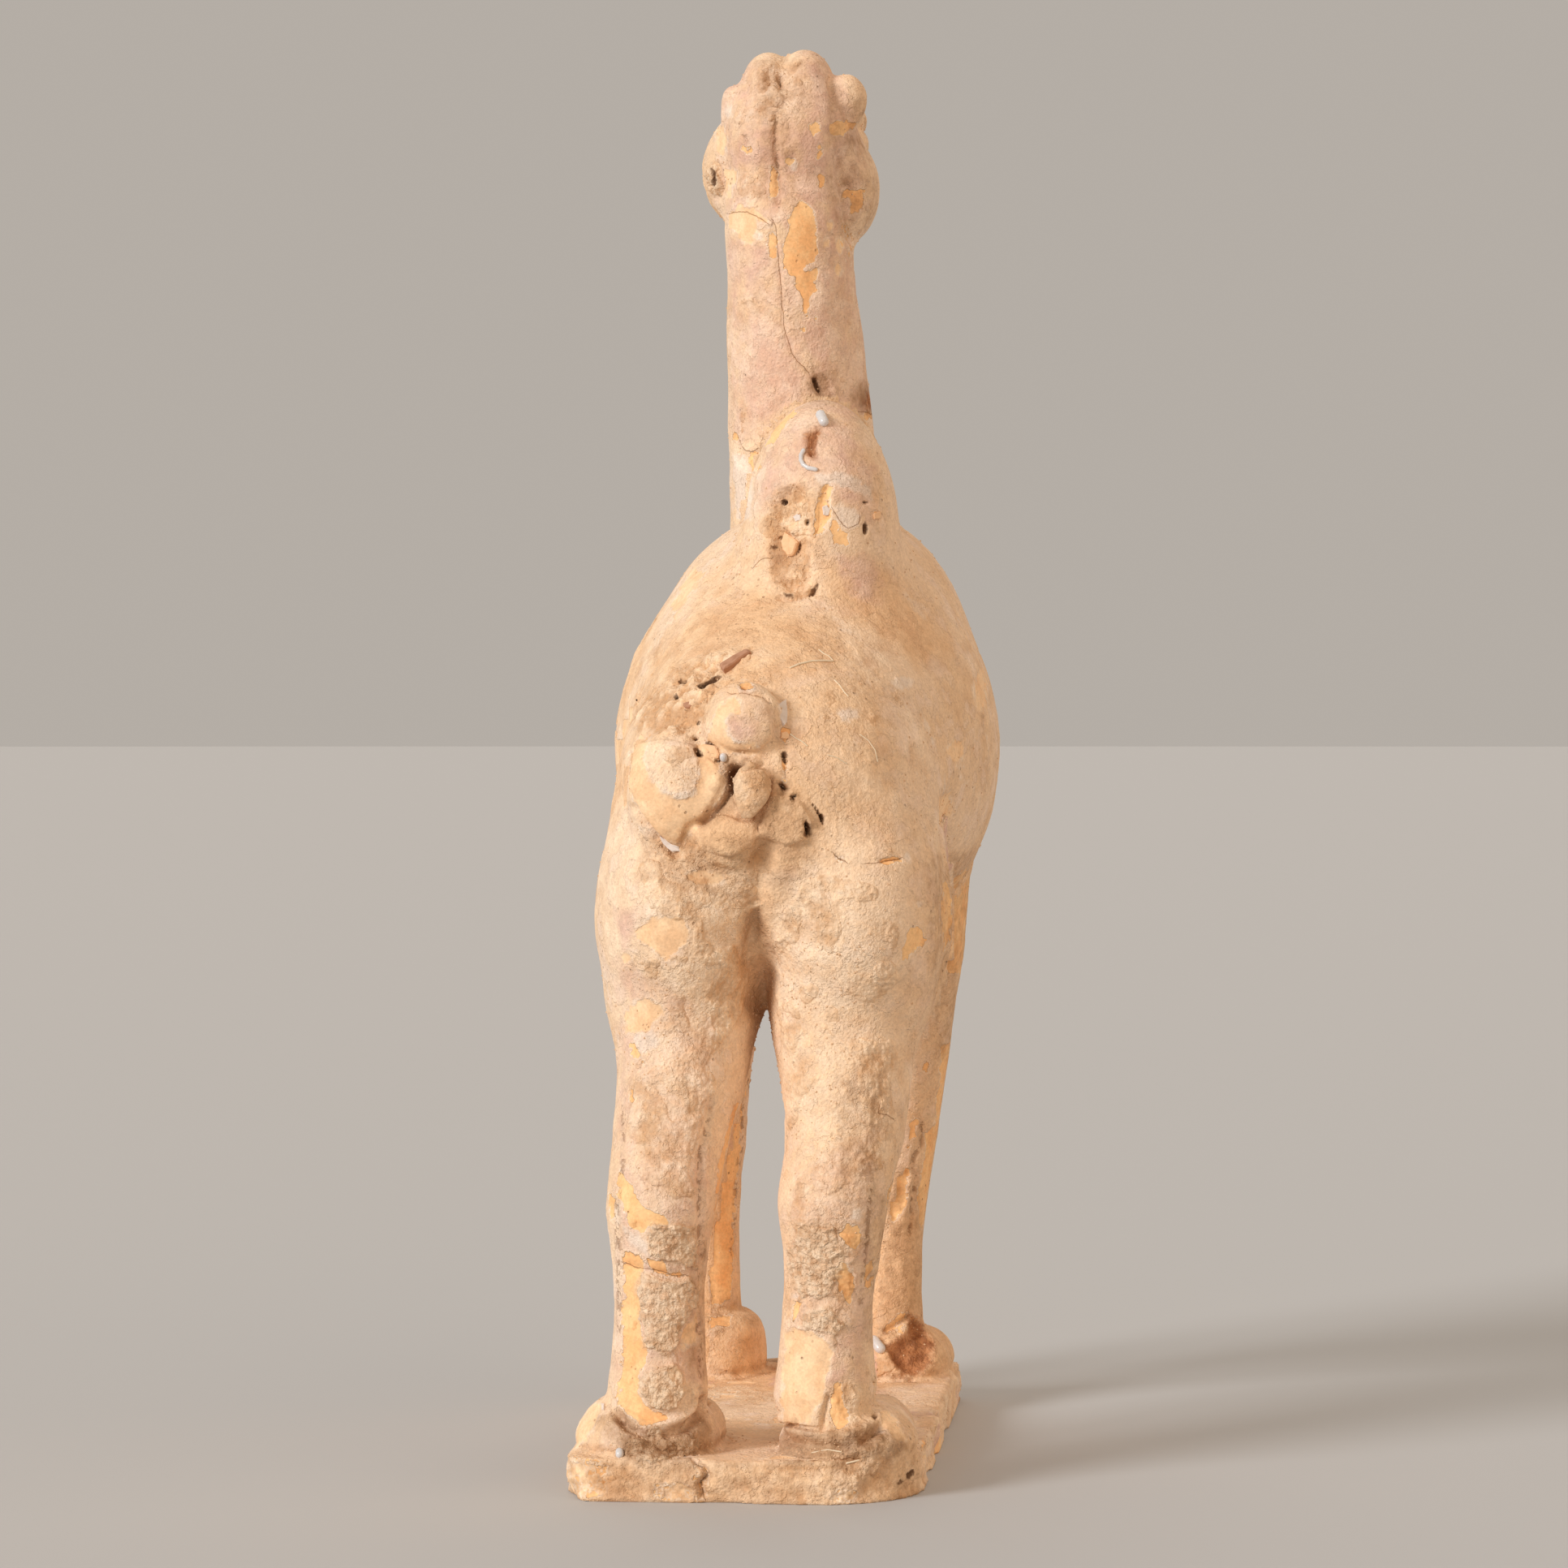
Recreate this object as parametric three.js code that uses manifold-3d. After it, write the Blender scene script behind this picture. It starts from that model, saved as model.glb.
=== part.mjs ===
// Terracotta camel figure, standing on its own rectangular base slab.
// Body, head, humps, legs, tail and slab are one piece of fired clay.
// Units are millimetres, +Z is up, the camel looks along -Y and its left side is +X.
// The origin is on the underside of the slab, below the belly.

import * as THREE from 'three';
import Module from 'manifold-3d';
import { mergeVertices } from 'three/addons/utils/BufferGeometryUtils.js';

// Clay, as the eye sees it under its slip and dust.
const CLAY = { name: 'terracotta', color: 0xdab48b, roughness: 0.95, metalness: 0.0 };

// Base slab: its four sides, its thickness, its worn arris, and the radius of each corner.
const SLAB = { left: 50.2, right: -49.2, front: -111, back: 98, thick: 12, arris: 2 };
const SLAB_CORNER = { leftBack: 11, rightBack: 20, leftFront: 9, rightFront: 7 };
const SLAB_EDGE_STEP = 6;
// Bites out of the slab's edge, seen from above: middle and half sizes of each.
const SLAB_CHIPS = [
  { at: [-55, 44], half: [8, 12] },
  { at: [-54, 12], half: [7, 9] },
  { at: [-53, -32], half: [5, 15] },
  { at: [-41, 106], half: [15, 11] },
  { at: [5, 101], half: [12, 4.5] },
];

// The camel is set out from the ground it was modelled on, this far above the underside.
const CAMEL_RISE = 1;

// Trunk: each mass of clay with its middle, its half sizes, and how softly it was smoothed in.
const BARREL = { at: [-8.4, -20, 206], half: [57.2, 88, 65] };
const TRUNK = [
  { name: 'withers', at: [-10.2, -30, 247], half: [38.8, 60, 33], blend: 14 },
  { name: 'chest', at: [-5, -62, 196], half: [49, 40, 54], blend: 14 },
  { name: 'rump', at: [-5, 50, 190], half: [46, 46, 48], blend: 16 },
];
const HUMPS = [
  { name: 'rear hump', at: [-15.3, 16, 270], half: [22.3, 27, 38.5], lean: 5, blend: 11 },
  { name: 'front hump', at: [-9, -46, 268], half: [20, 24, 35], lean: -8, blend: 11 },
];

// Legs, as sections up their height: z, y, half width, half depth, x of the left and right leg.
const HIND_LEG = [
  [178, 40, 6, 9, 19, -26],
  [165, 44, 13, 19, 19, -26],
  [150, 50, 18, 28, 19, -26.4],
  [135, 57, 20.5, 27, 20.5, -25.3],
  [117, 65, 18.6, 23, 19.8, -26.4],
  [99, 72, 16.4, 19, 22, -27],
  [81, 78.5, 15.6, 18, 23.8, -24.3],
  [67, 79.5, 13.7, 14.5, 24.2, -23.9],
  [54, 79, 12.7, 13, 24.4, -22.8],
  [38, 78.5, 13.1, 13.5, 24.8, -22],
  [27, 78.5, 14, 14, 25, -21.5],
  [20, 78.5, 12.5, 13, 25, -21.5],
];
const FORE_LEG = [
  [178, -58, 5, 8, 30, -31],
  [165, -60, 12, 17, 30, -31],
  [150, -62, 17.5, 27, 30, -31.4],
  [135, -67, 19, 24, 30.2, -31],
  [117, -73, 17, 20, 30.4, -31],
  [99, -78, 14.9, 16, 30.7, -30.4],
  [81, -81, 13.6, 15.5, 31, -28.8],
  [54, -80, 11.9, 12, 31, -26.7],
  [38, -79.5, 11.8, 12, 30.8, -26.4],
  [27, -79.5, 12.6, 13, 30.6, -26.2],
  [20, -79.5, 11.5, 12, 30.4, -26],
];
const LEG_BLEND = 8;
// Muscle over the top of each leg.
const THIGH = { left: 19, right: -29.5, y: 56, z: 160, half: [26.5, 38, 42], lean: -12 };
const SHOULDER = { left: 26, right: -34, y: -64, z: 168, half: [20, 30, 44], lean: 8 };
const CLEFT_BLEND = 3;
const THIGH_BLEND = 7;

// Feet: a broad pad with two toes in front of it.
const PAD = { z: 15, half: [20.5, 20, 13], setBack: 3 };
const TOE = { half: [10.5, 14, 10], out: 9.5, ahead: 11, z: 14, splay: 8, blend: 3 };
const FOOT_PLACES = [[28, 72], [-28.5, 72], [29, -82], [-29.5, -82]];
const FOOT_BLEND = 2.5;

// Neck sections: z, x, y, half width, half depth.
const NECK = [
  [190, -4, -76, 24, 26],
  [215, -3.2, -90, 29, 36],
  [240, -0.6, -102, 26.5, 38],
  [265, 0.9, -110, 24.4, 33],
  [290, 1.7, -113, 23.6, 29],
  [312, 2.9, -113, 23, 26.5],
  [332, 4, -111, 22, 25],
  [355, 5.2, -108, 20.6, 24],
  [378, 5.9, -106, 20, 23],
  [404, 6, -110, 12, 14],
];
const NECK_BLEND = 12;
// Mane under the throat, as a row of overlapping locks.
const MANE = { locks: 7, top: 366, drop: 118, y: -133, bulge: 8, half: [8.6, 8, 14.5], blend: 2.5 };

// Head sections from the lips back to the nape: y, x, z, half width, half height.
const HEAD = [
  [-198, 6.5, 392, 5, 5],
  [-195, 6.5, 391.5, 10, 10],
  [-188, 6.5, 391, 14.6, 14],
  [-164, 6.5, 393, 15.2, 15.5],
  [-150, 6.5, 396, 17.2, 18],
  [-134, 6.3, 398.5, 20, 20.5],
  [-118, 6, 400.5, 21.5, 21.5],
  [-104, 6, 401, 21.2, 21],
  [-94, 5.8, 401, 18.5, 19],
  [-87, 5.8, 400.5, 13, 14],
  [-83, 5.8, 400, 5, 6],
];
const HEAD_BLEND = 7;
const FACE_X = 6.4;
const JAW = { from: [6, -118, 384], to: [6.5, -174, 378], thick: 14, thin: 8.5, blend: 5 };
const LOWER_LIP = { at: [6.5, -181, 377.5], half: [9.5, 9.5, 7], blend: 2.5 };
const NOSE = { at: [6.5, -186, 395], half: [13.6, 11, 9], lean: 10, blend: 4 };
const CHEEK = { out: 16.9, y: -119, left: 392, right: 385.5, half: [11.4, 19, 17], blend: 5 };
const BROW = { out: 15.5, y: -134, z: 411, half: [7, 13.5, 5.5], blend: 3 };
const EYE = { out: 18.6, y: -136, z: 402.5, half: [5, 7.5, 5.6], blend: 1.5 };
const NOSTRIL = { out: 9.5, y: -195, z: 397, half: [5.5, 3.4, 3], turn: 35, blend: 1.5 };
const MOUTH = { z: 384, slope: 0.05, from: -156, half: 1.6, depth: 9, blend: 1.5 };
const EARS = [
  { at: [21.3, -103, 408], half: [5.9, 6, 9.5], tilt: 14 },
  { at: [-10.3, -103, 408], half: [6.3, 6, 10], tilt: -14 },
];
const EAR_LEAN = -10;
const EAR_BLEND = 2.2;
const TOPKNOT = [
  { at: [11.8, -105, 413.8], half: [9.6, 16, 13.8] },
  { at: [0.5, -105, 414.8], half: [10, 16, 13.8] },
];
const TOPKNOT_BLEND = 3;

// Tail, curled up and pressed on the rump, with its broken stub.
const TAIL = [
  { name: 'root', at: [-0.4, 88.5, 214], half: [11.5, 9.5, 11.5], turn: 0, blend: 5 },
  { name: 'tuft', at: [19.5, 83, 195], half: [14, 12.5, 17.5], turn: -14, blend: 5 },
  { name: 'tip', at: [4.2, 92, 181.5], half: [9, 6.5, 7.5], turn: 0, blend: 5 },
  { name: 'stub', at: [-2.4, 94.5, 196.5], half: [5.4, 6, 8.5], turn: 0, blend: 4 },
];

// Spacing of the lines that the surface is worked out on, finer over the head and the feet.
const LINES = {
  x: [{ to: -18, step: 7.4 }, { to: 30, step: 5.6 }, { to: 64, step: 7.4 }],
  y: [{ to: -122, step: 4.6 }, { to: 112, step: 8.4 }],
  z: [{ to: 40, step: 6 }, { to: 368, step: 10 }, { to: 440, step: 4.6 }],
};
const LINES_START = { x: -76, y: -208, z: -3 };
const SETTLE_STEPS = 3;
const SETTLE_LIMIT = 1.6;
const SLOPE_STEP = 0.2;
const RASTER = 0.02;

const radians = THREE.MathUtils.degToRad;

// Smooth union and smooth cut of two distances: k is the width of the fillet between them.
function fuse(a, b, k) {
  const h = THREE.MathUtils.clamp(0.5 + 0.5 * (b - a) / k, 0, 1);
  return b * (1 - h) + a * h - k * h * (1 - h);
}

function carve(a, b, k) {
  return -fuse(-a, b, k);
}

// Distance to an ellipsoid, turned by degrees about X, Y and Z through its middle.
function ellipsoid(p, at, half, turn = [0, 0, 0]) {
  const q = [p[0] - at[0], p[1] - at[1], p[2] - at[2]];
  for (let axis = 0; axis < 3; axis += 1) {
    if (turn[axis] !== 0) {
      const i = (axis + 1) % 3;
      const j = (axis + 2) % 3;
      const c = Math.cos(radians(turn[axis]));
      const s = Math.sin(radians(turn[axis]));
      [q[i], q[j]] = [c * q[i] + s * q[j], -s * q[i] + c * q[j]];
    }
  }
  const a = Math.hypot(q[0] / half[0], q[1] / half[1], q[2] / half[2]);
  const b = Math.hypot(q[0] / half[0] ** 2, q[1] / half[1] ** 2, q[2] / half[2] ** 2);
  return a * (a - 1) / (b + 1e-9);
}

// Distance to a round bar from one point to another, thicker at one end.
function taperedBar(p, from, to, thick, thin) {
  const start = new THREE.Vector3(...from);
  const run = new THREE.Vector3(...to).sub(start);
  const off = new THREE.Vector3(...p).sub(start);
  const t = THREE.MathUtils.clamp(off.dot(run) / run.lengthSq(), 0, 1);
  return off.addScaledVector(run, -t).length() - THREE.MathUtils.lerp(thick, thin, t);
}

// Smooth curve through values at rising knots, flat past its ends.
function smoothCurve(knots, values) {
  const last = knots.length - 1;
  const rise = [];
  for (let i = 0; i < last; i += 1) {
    rise.push((values[i + 1] - values[i]) / (knots[i + 1] - knots[i]));
  }
  const slope = knots.map((knot, i) => {
    if (i === 0 || i === last) {
      return rise[Math.min(i, last - 1)];
    }
    const before = knot - knots[i - 1];
    const after = knots[i + 1] - knot;
    return (rise[i - 1] * before + rise[i] * after) / (before + after);
  });
  return (at) => {
    const t = THREE.MathUtils.clamp(at, knots[0], knots[last]);
    let i = 0;
    while (i < last - 1 && t >= knots[i + 1]) {
      i += 1;
    }
    const h = knots[i + 1] - knots[i];
    const u = (t - knots[i]) / h;
    const keep = (1 + 2 * u) * (1 - u) ** 2;
    const lead = u * (1 - u) ** 2;
    const trail = u * u * (u - 1);
    return keep * values[i] + (1 - keep) * values[i + 1] + h * (lead * slope[i] + trail * slope[i + 1]);
  };
}

// A limb: elliptical sections strung along one axis. Each section is [along, c1, c2, half1, half2].
function limb(sections, axis) {
  const sorted = [...sections].sort((a, b) => a[0] - b[0]);
  const knots = sorted.map((section) => section[0]);
  const curves = [1, 2, 3, 4].map((column) => smoothCurve(knots, sorted.map((section) => section[column])));
  const [low, high] = [knots[0], knots[knots.length - 1]];
  const [i, j] = [0, 1, 2].filter((other) => other !== axis);
  return (p) => {
    const [c1, c2, half1, half2] = curves.map((curve) => curve(p[axis]));
    const u = (p[i] - c1) / half1;
    const v = (p[j] - c2) / half2;
    const reach = Math.hypot(u, v);
    const slope = reach < 1e-6 ? 1 / Math.min(half1, half2) : Math.hypot(u / half1, v / half2) / reach;
    const side = (reach - 1) / slope;
    const end = Math.max(low - p[axis], p[axis] - high);
    if (side > 0 || end > 0) {
      return Math.hypot(Math.max(side, 0), Math.max(end, 0));
    }
    return Math.max(side, end);
  };
}

function legOf(sections, column) {
  return limb(sections.map((row) => [row[0], row[column], row[1], row[2], row[3]]), 2);
}

const legs = {
  hindLeft: legOf(HIND_LEG, 4),
  hindRight: legOf(HIND_LEG, 5),
  foreLeft: legOf(FORE_LEG, 4),
  foreRight: legOf(FORE_LEG, 5),
};
const neck = limb(NECK, 2);
const skull = limb(HEAD, 1);

function trunk(p) {
  let d = ellipsoid(p, BARREL.at, BARREL.half);
  for (const mass of TRUNK) {
    d = fuse(d, ellipsoid(p, mass.at, mass.half), mass.blend);
  }
  return d;
}

// A leg with the muscle that it grows out of.
function limbWithMuscle(p, leg, muscle, x) {
  const flesh = ellipsoid(p, [x, muscle.y, muscle.z], muscle.half, [muscle.lean, 0, 0]);
  return fuse(flesh, leg(p), LEG_BLEND);
}

function foot(p, x, y) {
  let d = ellipsoid(p, [x, y + PAD.setBack, PAD.z], PAD.half);
  for (const side of [1, -1]) {
    const at = [x + side * TOE.out, y - TOE.ahead, TOE.z];
    d = fuse(d, ellipsoid(p, at, TOE.half, [0, 0, -side * TOE.splay]), TOE.blend);
  }
  return d;
}

function mane(p, d) {
  let grown = d;
  for (let i = 0; i < MANE.locks; i += 1) {
    const t = i / (MANE.locks - 1);
    const y = MANE.y - MANE.bulge * Math.sin(3 * t) + 2 * t;
    const at = [4.6 - 5 * t, y, MANE.top - t * MANE.drop];
    grown = fuse(grown, ellipsoid(p, at, MANE.half, [10 * t - 14, 0, 0]), MANE.blend);
  }
  return grown;
}

function mouthSlot(p) {
  const height = Math.abs(p[2] - MOUTH.z - MOUTH.slope * (p[1] + 170)) - MOUTH.half;
  const inside = MOUTH.depth - Math.abs(p[0] - FACE_X);
  return Math.max(height, p[1] - MOUTH.from, inside);
}

function head(p) {
  let d = skull(p);
  d = fuse(d, taperedBar(p, JAW.from, JAW.to, JAW.thick, JAW.thin), JAW.blend);
  d = fuse(d, ellipsoid(p, LOWER_LIP.at, LOWER_LIP.half), LOWER_LIP.blend);
  d = fuse(d, ellipsoid(p, NOSE.at, NOSE.half, [NOSE.lean, 0, 0]), NOSE.blend);
  for (const side of [1, -1]) {
    const cheekAt = [FACE_X + side * CHEEK.out, CHEEK.y, side > 0 ? CHEEK.left : CHEEK.right];
    d = fuse(d, ellipsoid(p, cheekAt, CHEEK.half), CHEEK.blend);
    const browAt = [FACE_X + side * BROW.out, BROW.y, BROW.z];
    d = fuse(d, ellipsoid(p, browAt, BROW.half, [14, 0, side * 12]), BROW.blend);
    const eyeAt = [FACE_X + side * EYE.out, EYE.y, EYE.z];
    d = fuse(d, ellipsoid(p, eyeAt, EYE.half, [8, 0, side * 12]), EYE.blend);
    const nostrilAt = [FACE_X + side * NOSTRIL.out, NOSTRIL.y, NOSTRIL.z];
    d = carve(d, ellipsoid(p, nostrilAt, NOSTRIL.half, [0, 0, side * NOSTRIL.turn]), NOSTRIL.blend);
  }
  d = carve(d, mouthSlot(p), MOUTH.blend);
  for (const ear of EARS) {
    d = fuse(d, ellipsoid(p, ear.at, ear.half, [EAR_LEAN, ear.tilt, 0]), EAR_BLEND);
  }
  for (const lobe of TOPKNOT) {
    d = fuse(d, ellipsoid(p, lobe.at, lobe.half), TOPKNOT_BLEND);
  }
  return d;
}

function camel(p) {
  let d = trunk(p);
  const thighs = fuse(
    limbWithMuscle(p, legs.hindLeft, THIGH, THIGH.left),
    limbWithMuscle(p, legs.hindRight, THIGH, THIGH.right),
    CLEFT_BLEND,
  );
  d = fuse(d, thighs, THIGH_BLEND);
  d = fuse(d, limbWithMuscle(p, legs.foreLeft, SHOULDER, SHOULDER.left), LEG_BLEND);
  d = fuse(d, limbWithMuscle(p, legs.foreRight, SHOULDER, SHOULDER.right), LEG_BLEND);
  for (const hump of HUMPS) {
    d = fuse(d, ellipsoid(p, hump.at, hump.half, [hump.lean, 0, 0]), hump.blend);
  }
  for (const [x, y] of FOOT_PLACES) {
    d = fuse(d, foot(p, x, y), FOOT_BLEND);
  }
  d = mane(p, fuse(d, neck(p), NECK_BLEND));
  for (const lobe of TAIL) {
    d = fuse(d, ellipsoid(p, lobe.at, lobe.half, [0, 0, lobe.turn]), lobe.blend);
  }
  return fuse(d, head(p), HEAD_BLEND);
}

function figure(p) {
  return camel([p[0], p[1], p[2] - CAMEL_RISE]);
}

function gridLines(start, zones) {
  const lines = [start];
  for (const zone of zones) {
    while (lines[lines.length - 1] < zone.to) {
      lines.push(lines[lines.length - 1] + zone.step);
    }
  }
  return lines;
}

function slopeAt(field, p) {
  return [0, 1, 2].map((axis) => {
    const ahead = [...p];
    const behind = [...p];
    ahead[axis] += SLOPE_STEP;
    behind[axis] -= SLOPE_STEP;
    return (field(ahead) - field(behind)) / (2 * SLOPE_STEP);
  });
}

// Moves a point along the slope of the field until it lies on the surface.
function settle(field, start) {
  let p = start;
  for (let step = 0; step < SETTLE_STEPS; step += 1) {
    const slope = slopeAt(field, p);
    const steep = slope[0] ** 2 + slope[1] ** 2 + slope[2] ** 2 + 1e-9;
    const shift = slope.map((part) => -field(p) * part / steep);
    const keep = Math.min(1, SETTLE_LIMIT / (Math.hypot(...shift) + 1e-9));
    p = p.map((value, axis) => value + keep * shift[axis]);
  }
  return p;
}

// Closed surface of a field: one point in each grid cell that the surface crosses, and a quad
// round each grid edge that it crosses.
function surfaceOf(field, lines) {
  const count = lines.map((list) => list.length);
  const at = (i, j, k) => (i * count[1] + j) * count[2] + k;
  const value = new Float64Array(count[0] * count[1] * count[2]);
  for (let i = 0; i < count[0]; i += 1) {
    for (let j = 0; j < count[1]; j += 1) {
      for (let k = 0; k < count[2]; k += 1) {
        value[at(i, j, k)] = field([lines[0][i], lines[1][j], lines[2][k]]);
      }
    }
  }
  const points = [];
  const pointOf = new Map();
  const cellPoint = (cell) => {
    const key = at(...cell);
    if (!pointOf.has(key)) {
      pointOf.set(key, points.length / 3);
      points.push(...settle(field, crossingMiddle(cell)));
    }
    return pointOf.get(key);
  };
  const crossingMiddle = (cell) => {
    const sum = [0, 0, 0];
    let crossings = 0;
    for (let axis = 0; axis < 3; axis += 1) {
      for (let corner = 0; corner < 4; corner += 1) {
        const low = [...cell];
        low[(axis + 1) % 3] += corner & 1;
        low[(axis + 2) % 3] += corner >> 1;
        const high = [...low];
        high[axis] += 1;
        const a = value[at(...low)];
        const b = value[at(...high)];
        if ((a < 0) !== (b < 0)) {
          const t = a / (a - b);
          for (let part = 0; part < 3; part += 1) {
            const from = lines[part][low[part]];
            sum[part] += from + t * (lines[part][high[part]] - from);
          }
          crossings += 1;
        }
      }
    }
    return sum.map((total) => total / crossings);
  };
  const faces = [];
  const place = (index) => new THREE.Vector3().fromArray(points, 3 * index);
  const addQuad = (a, b, c, d) => {
    if (place(a).distanceTo(place(c)) < place(b).distanceTo(place(d))) {
      faces.push(a, b, c, a, c, d);
    } else {
      faces.push(a, b, d, b, c, d);
    }
  };
  for (let axis = 0; axis < 3; axis += 1) {
    const u = (axis + 1) % 3;
    const v = (axis + 2) % 3;
    const index = [0, 0, 0];
    for (index[axis] = 0; index[axis] < count[axis] - 1; index[axis] += 1) {
      for (index[u] = 1; index[u] < count[u] - 1; index[u] += 1) {
        for (index[v] = 1; index[v] < count[v] - 1; index[v] += 1) {
          const next = [...index];
          next[axis] += 1;
          const inside = value[at(...index)] < 0;
          if (inside !== (value[at(...next)] < 0)) {
            const ring = [[1, 1], [0, 1], [0, 0], [1, 0]].map(([du, dv]) => {
              const cell = [...index];
              cell[u] -= du;
              cell[v] -= dv;
              return cellPoint(cell);
            });
            addQuad(...(inside ? ring : ring.reverse()));
          }
        }
      }
    }
  }
  const geometry = new THREE.BufferGeometry();
  geometry.setAttribute('position', new THREE.Float32BufferAttribute(points, 3));
  geometry.setIndex(faces);
  return geometry;
}

const wasm = await Module();
wasm.setup();

function toSolid(geometry) {
  const bare = geometry.clone();
  bare.deleteAttribute('normal');
  bare.deleteAttribute('uv');
  const merged = mergeVertices(bare, 1e-4);
  const vertProperties = new Float32Array(merged.attributes.position.array);
  const triVerts = new Uint32Array(merged.index.array);
  return new wasm.Manifold(new wasm.Mesh({ numProp: 3, vertProperties, triVerts }));
}

// Corners are set to a fine raster, so that no two of them nearly meet, and thin slivers close up.
function toGeometry(solid) {
  const mesh = solid.getMesh();
  const geometry = new THREE.BufferGeometry();
  const corners = mesh.vertProperties.map((value) => Math.round(value / RASTER) * RASTER);
  geometry.setAttribute('position', new THREE.BufferAttribute(corners, 3));
  geometry.setIndex(new THREE.BufferAttribute(mesh.triVerts, 1));
  const merged = mergeVertices(geometry, RASTER / 10);
  const faces = [];
  for (let start = 0; start < merged.index.count; start += 3) {
    const face = [0, 1, 2].map((corner) => merged.index.getX(start + corner));
    if (new Set(face).size === 3) {
      faces.push(...face);
    }
  }
  merged.setIndex(faces);
  merged.computeVertexNormals();
  return merged;
}

// Edge of the slab seen from above: a rectangle with round corners, bitten where it is chipped.
function slabEdge() {
  const { left, right, front, back } = SLAB;
  const corners = [
    [left - SLAB_CORNER.leftBack, back - SLAB_CORNER.leftBack, SLAB_CORNER.leftBack],
    [right + SLAB_CORNER.rightBack, back - SLAB_CORNER.rightBack, SLAB_CORNER.rightBack],
    [right + SLAB_CORNER.rightFront, front + SLAB_CORNER.rightFront, SLAB_CORNER.rightFront],
    [left - SLAB_CORNER.leftFront, front + SLAB_CORNER.leftFront, SLAB_CORNER.leftFront],
  ];
  const outline = new THREE.Path();
  corners.forEach(([x, y, radius], quarter) => {
    outline.absarc(x, y, radius, quarter * Math.PI / 2, (quarter + 1) * Math.PI / 2, false);
  });
  outline.closePath();
  const steps = Math.round(outline.getLength() / SLAB_EDGE_STEP);
  return outline.getSpacedPoints(steps).slice(0, steps).map(bitten);
}

function bitten(point) {
  let { x, y } = point;
  for (const chip of SLAB_CHIPS) {
    const reach = Math.hypot((x - chip.at[0]) / chip.half[0], (y - chip.at[1]) / chip.half[1]);
    if (reach < 1) {
      x = chip.at[0] + (x - chip.at[0]) / reach;
      y = chip.at[1] + (y - chip.at[1]) / reach;
    }
  }
  return new THREE.Vector2(x, y);
}

// The slab's lower arris is worn away below the ground here, and is cut off flat at z = 0.
function makeSlab() {
  const buried = SLAB.arris;
  const geometry = new THREE.ExtrudeGeometry(new THREE.Shape(slabEdge()), {
    depth: SLAB.thick - SLAB.arris,
    bevelThickness: SLAB.arris,
    bevelSize: SLAB.arris,
    bevelOffset: -SLAB.arris,
    bevelSegments: 2,
  });
  const ground = new THREE.BoxGeometry(3 * SLAB.left, 3 * SLAB.back, 2 * buried);
  ground.translate(0, 0, -buried);
  return toSolid(geometry).subtract(toSolid(ground));
}

function makeCamelFigure() {
  const lines = ['x', 'y', 'z'].map((axis) => gridLines(LINES_START[axis], LINES[axis]));
  const solid = toSolid(surfaceOf(figure, lines)).add(makeSlab());
  const mesh = new THREE.Mesh(toGeometry(solid), new THREE.MeshStandardMaterial(CLAY));
  mesh.name = 'camel_figure';
  return mesh;
}

const part = new THREE.Group();
part.add(makeCamelFigure());

export default part;
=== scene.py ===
"""Looks of the terracotta camel figure, built round its packed clay solid.

Lengths in the sizes below are millimetres, in the frame of the solid: +Z is up, the camel looks
along -Y and its left side is +X. Meshes are made in metres. A place that was read off the photograph
is a named pixel of its 1932 by 1932 frame, and is carried along the line of sight onto the clay.
"""

import logging
import math
from dataclasses import dataclass, field
from enum import Enum
from typing import Callable, ClassVar, Sequence

import bpy
import numpy as np
from mathutils import Matrix, Vector


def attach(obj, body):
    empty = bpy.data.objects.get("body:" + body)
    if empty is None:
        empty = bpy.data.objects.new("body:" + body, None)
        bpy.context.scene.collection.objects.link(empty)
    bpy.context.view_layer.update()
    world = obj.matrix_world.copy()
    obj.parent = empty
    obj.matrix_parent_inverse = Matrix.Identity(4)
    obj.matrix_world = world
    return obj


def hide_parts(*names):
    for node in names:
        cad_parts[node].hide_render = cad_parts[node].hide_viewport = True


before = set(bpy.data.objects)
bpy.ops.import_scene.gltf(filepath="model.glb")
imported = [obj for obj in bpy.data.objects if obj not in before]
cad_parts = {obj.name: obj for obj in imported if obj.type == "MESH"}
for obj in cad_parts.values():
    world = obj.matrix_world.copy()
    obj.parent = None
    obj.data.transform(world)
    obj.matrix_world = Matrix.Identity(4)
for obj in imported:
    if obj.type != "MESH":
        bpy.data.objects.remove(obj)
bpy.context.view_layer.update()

MM = 0.001
TINY = 1e-6
PHOTO_SIZE = 1932
BODY = "root"
CLAY_NODE = "camel_figure"

FAR = 1e9
APART_MM = 1e3

Array = np.ndarray
Triple = tuple[float, float, float]
# Columns and rows of the photograph by turns: the corners of an outline or the bends of a path.
Outline = tuple[float, ...]
Colour = tuple[float, float, float, float]
Tree = bpy.types.NodeTree
Socket = bpy.types.NodeSocket
Wash = tuple[Socket, float, float, float, str]
log = logging.getLogger("camel_figure")


def fuse(a: Array, b: Array, width: float) -> Array:
    """Joins two distances with a fillet of the given width.

    Args:
        a: Signed distances to one shape.
        b: Signed distances to the other shape.
        width: Width of the fillet between them.

    Returns:
        Signed distances to the joined shape.
    """
    h = np.clip(0.5 + 0.5 * (b - a) / width, 0.0, 1.0)
    return b * (1.0 - h) + a * h - width * h * (1.0 - h)


def carve(a: Array, b: Array, width: float) -> Array:
    """Keeps what lies in both shapes, with a fillet of the given width between them."""
    return -fuse(-a, -b, width)


def ramp(value: Array, low: float, high: float) -> Array:
    """Rises smoothly from 0 at low to 1 at high."""
    t = np.clip((value - low) / (high - low), 0.0, 1.0)
    return t * t * (3.0 - 2.0 * t)


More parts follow.
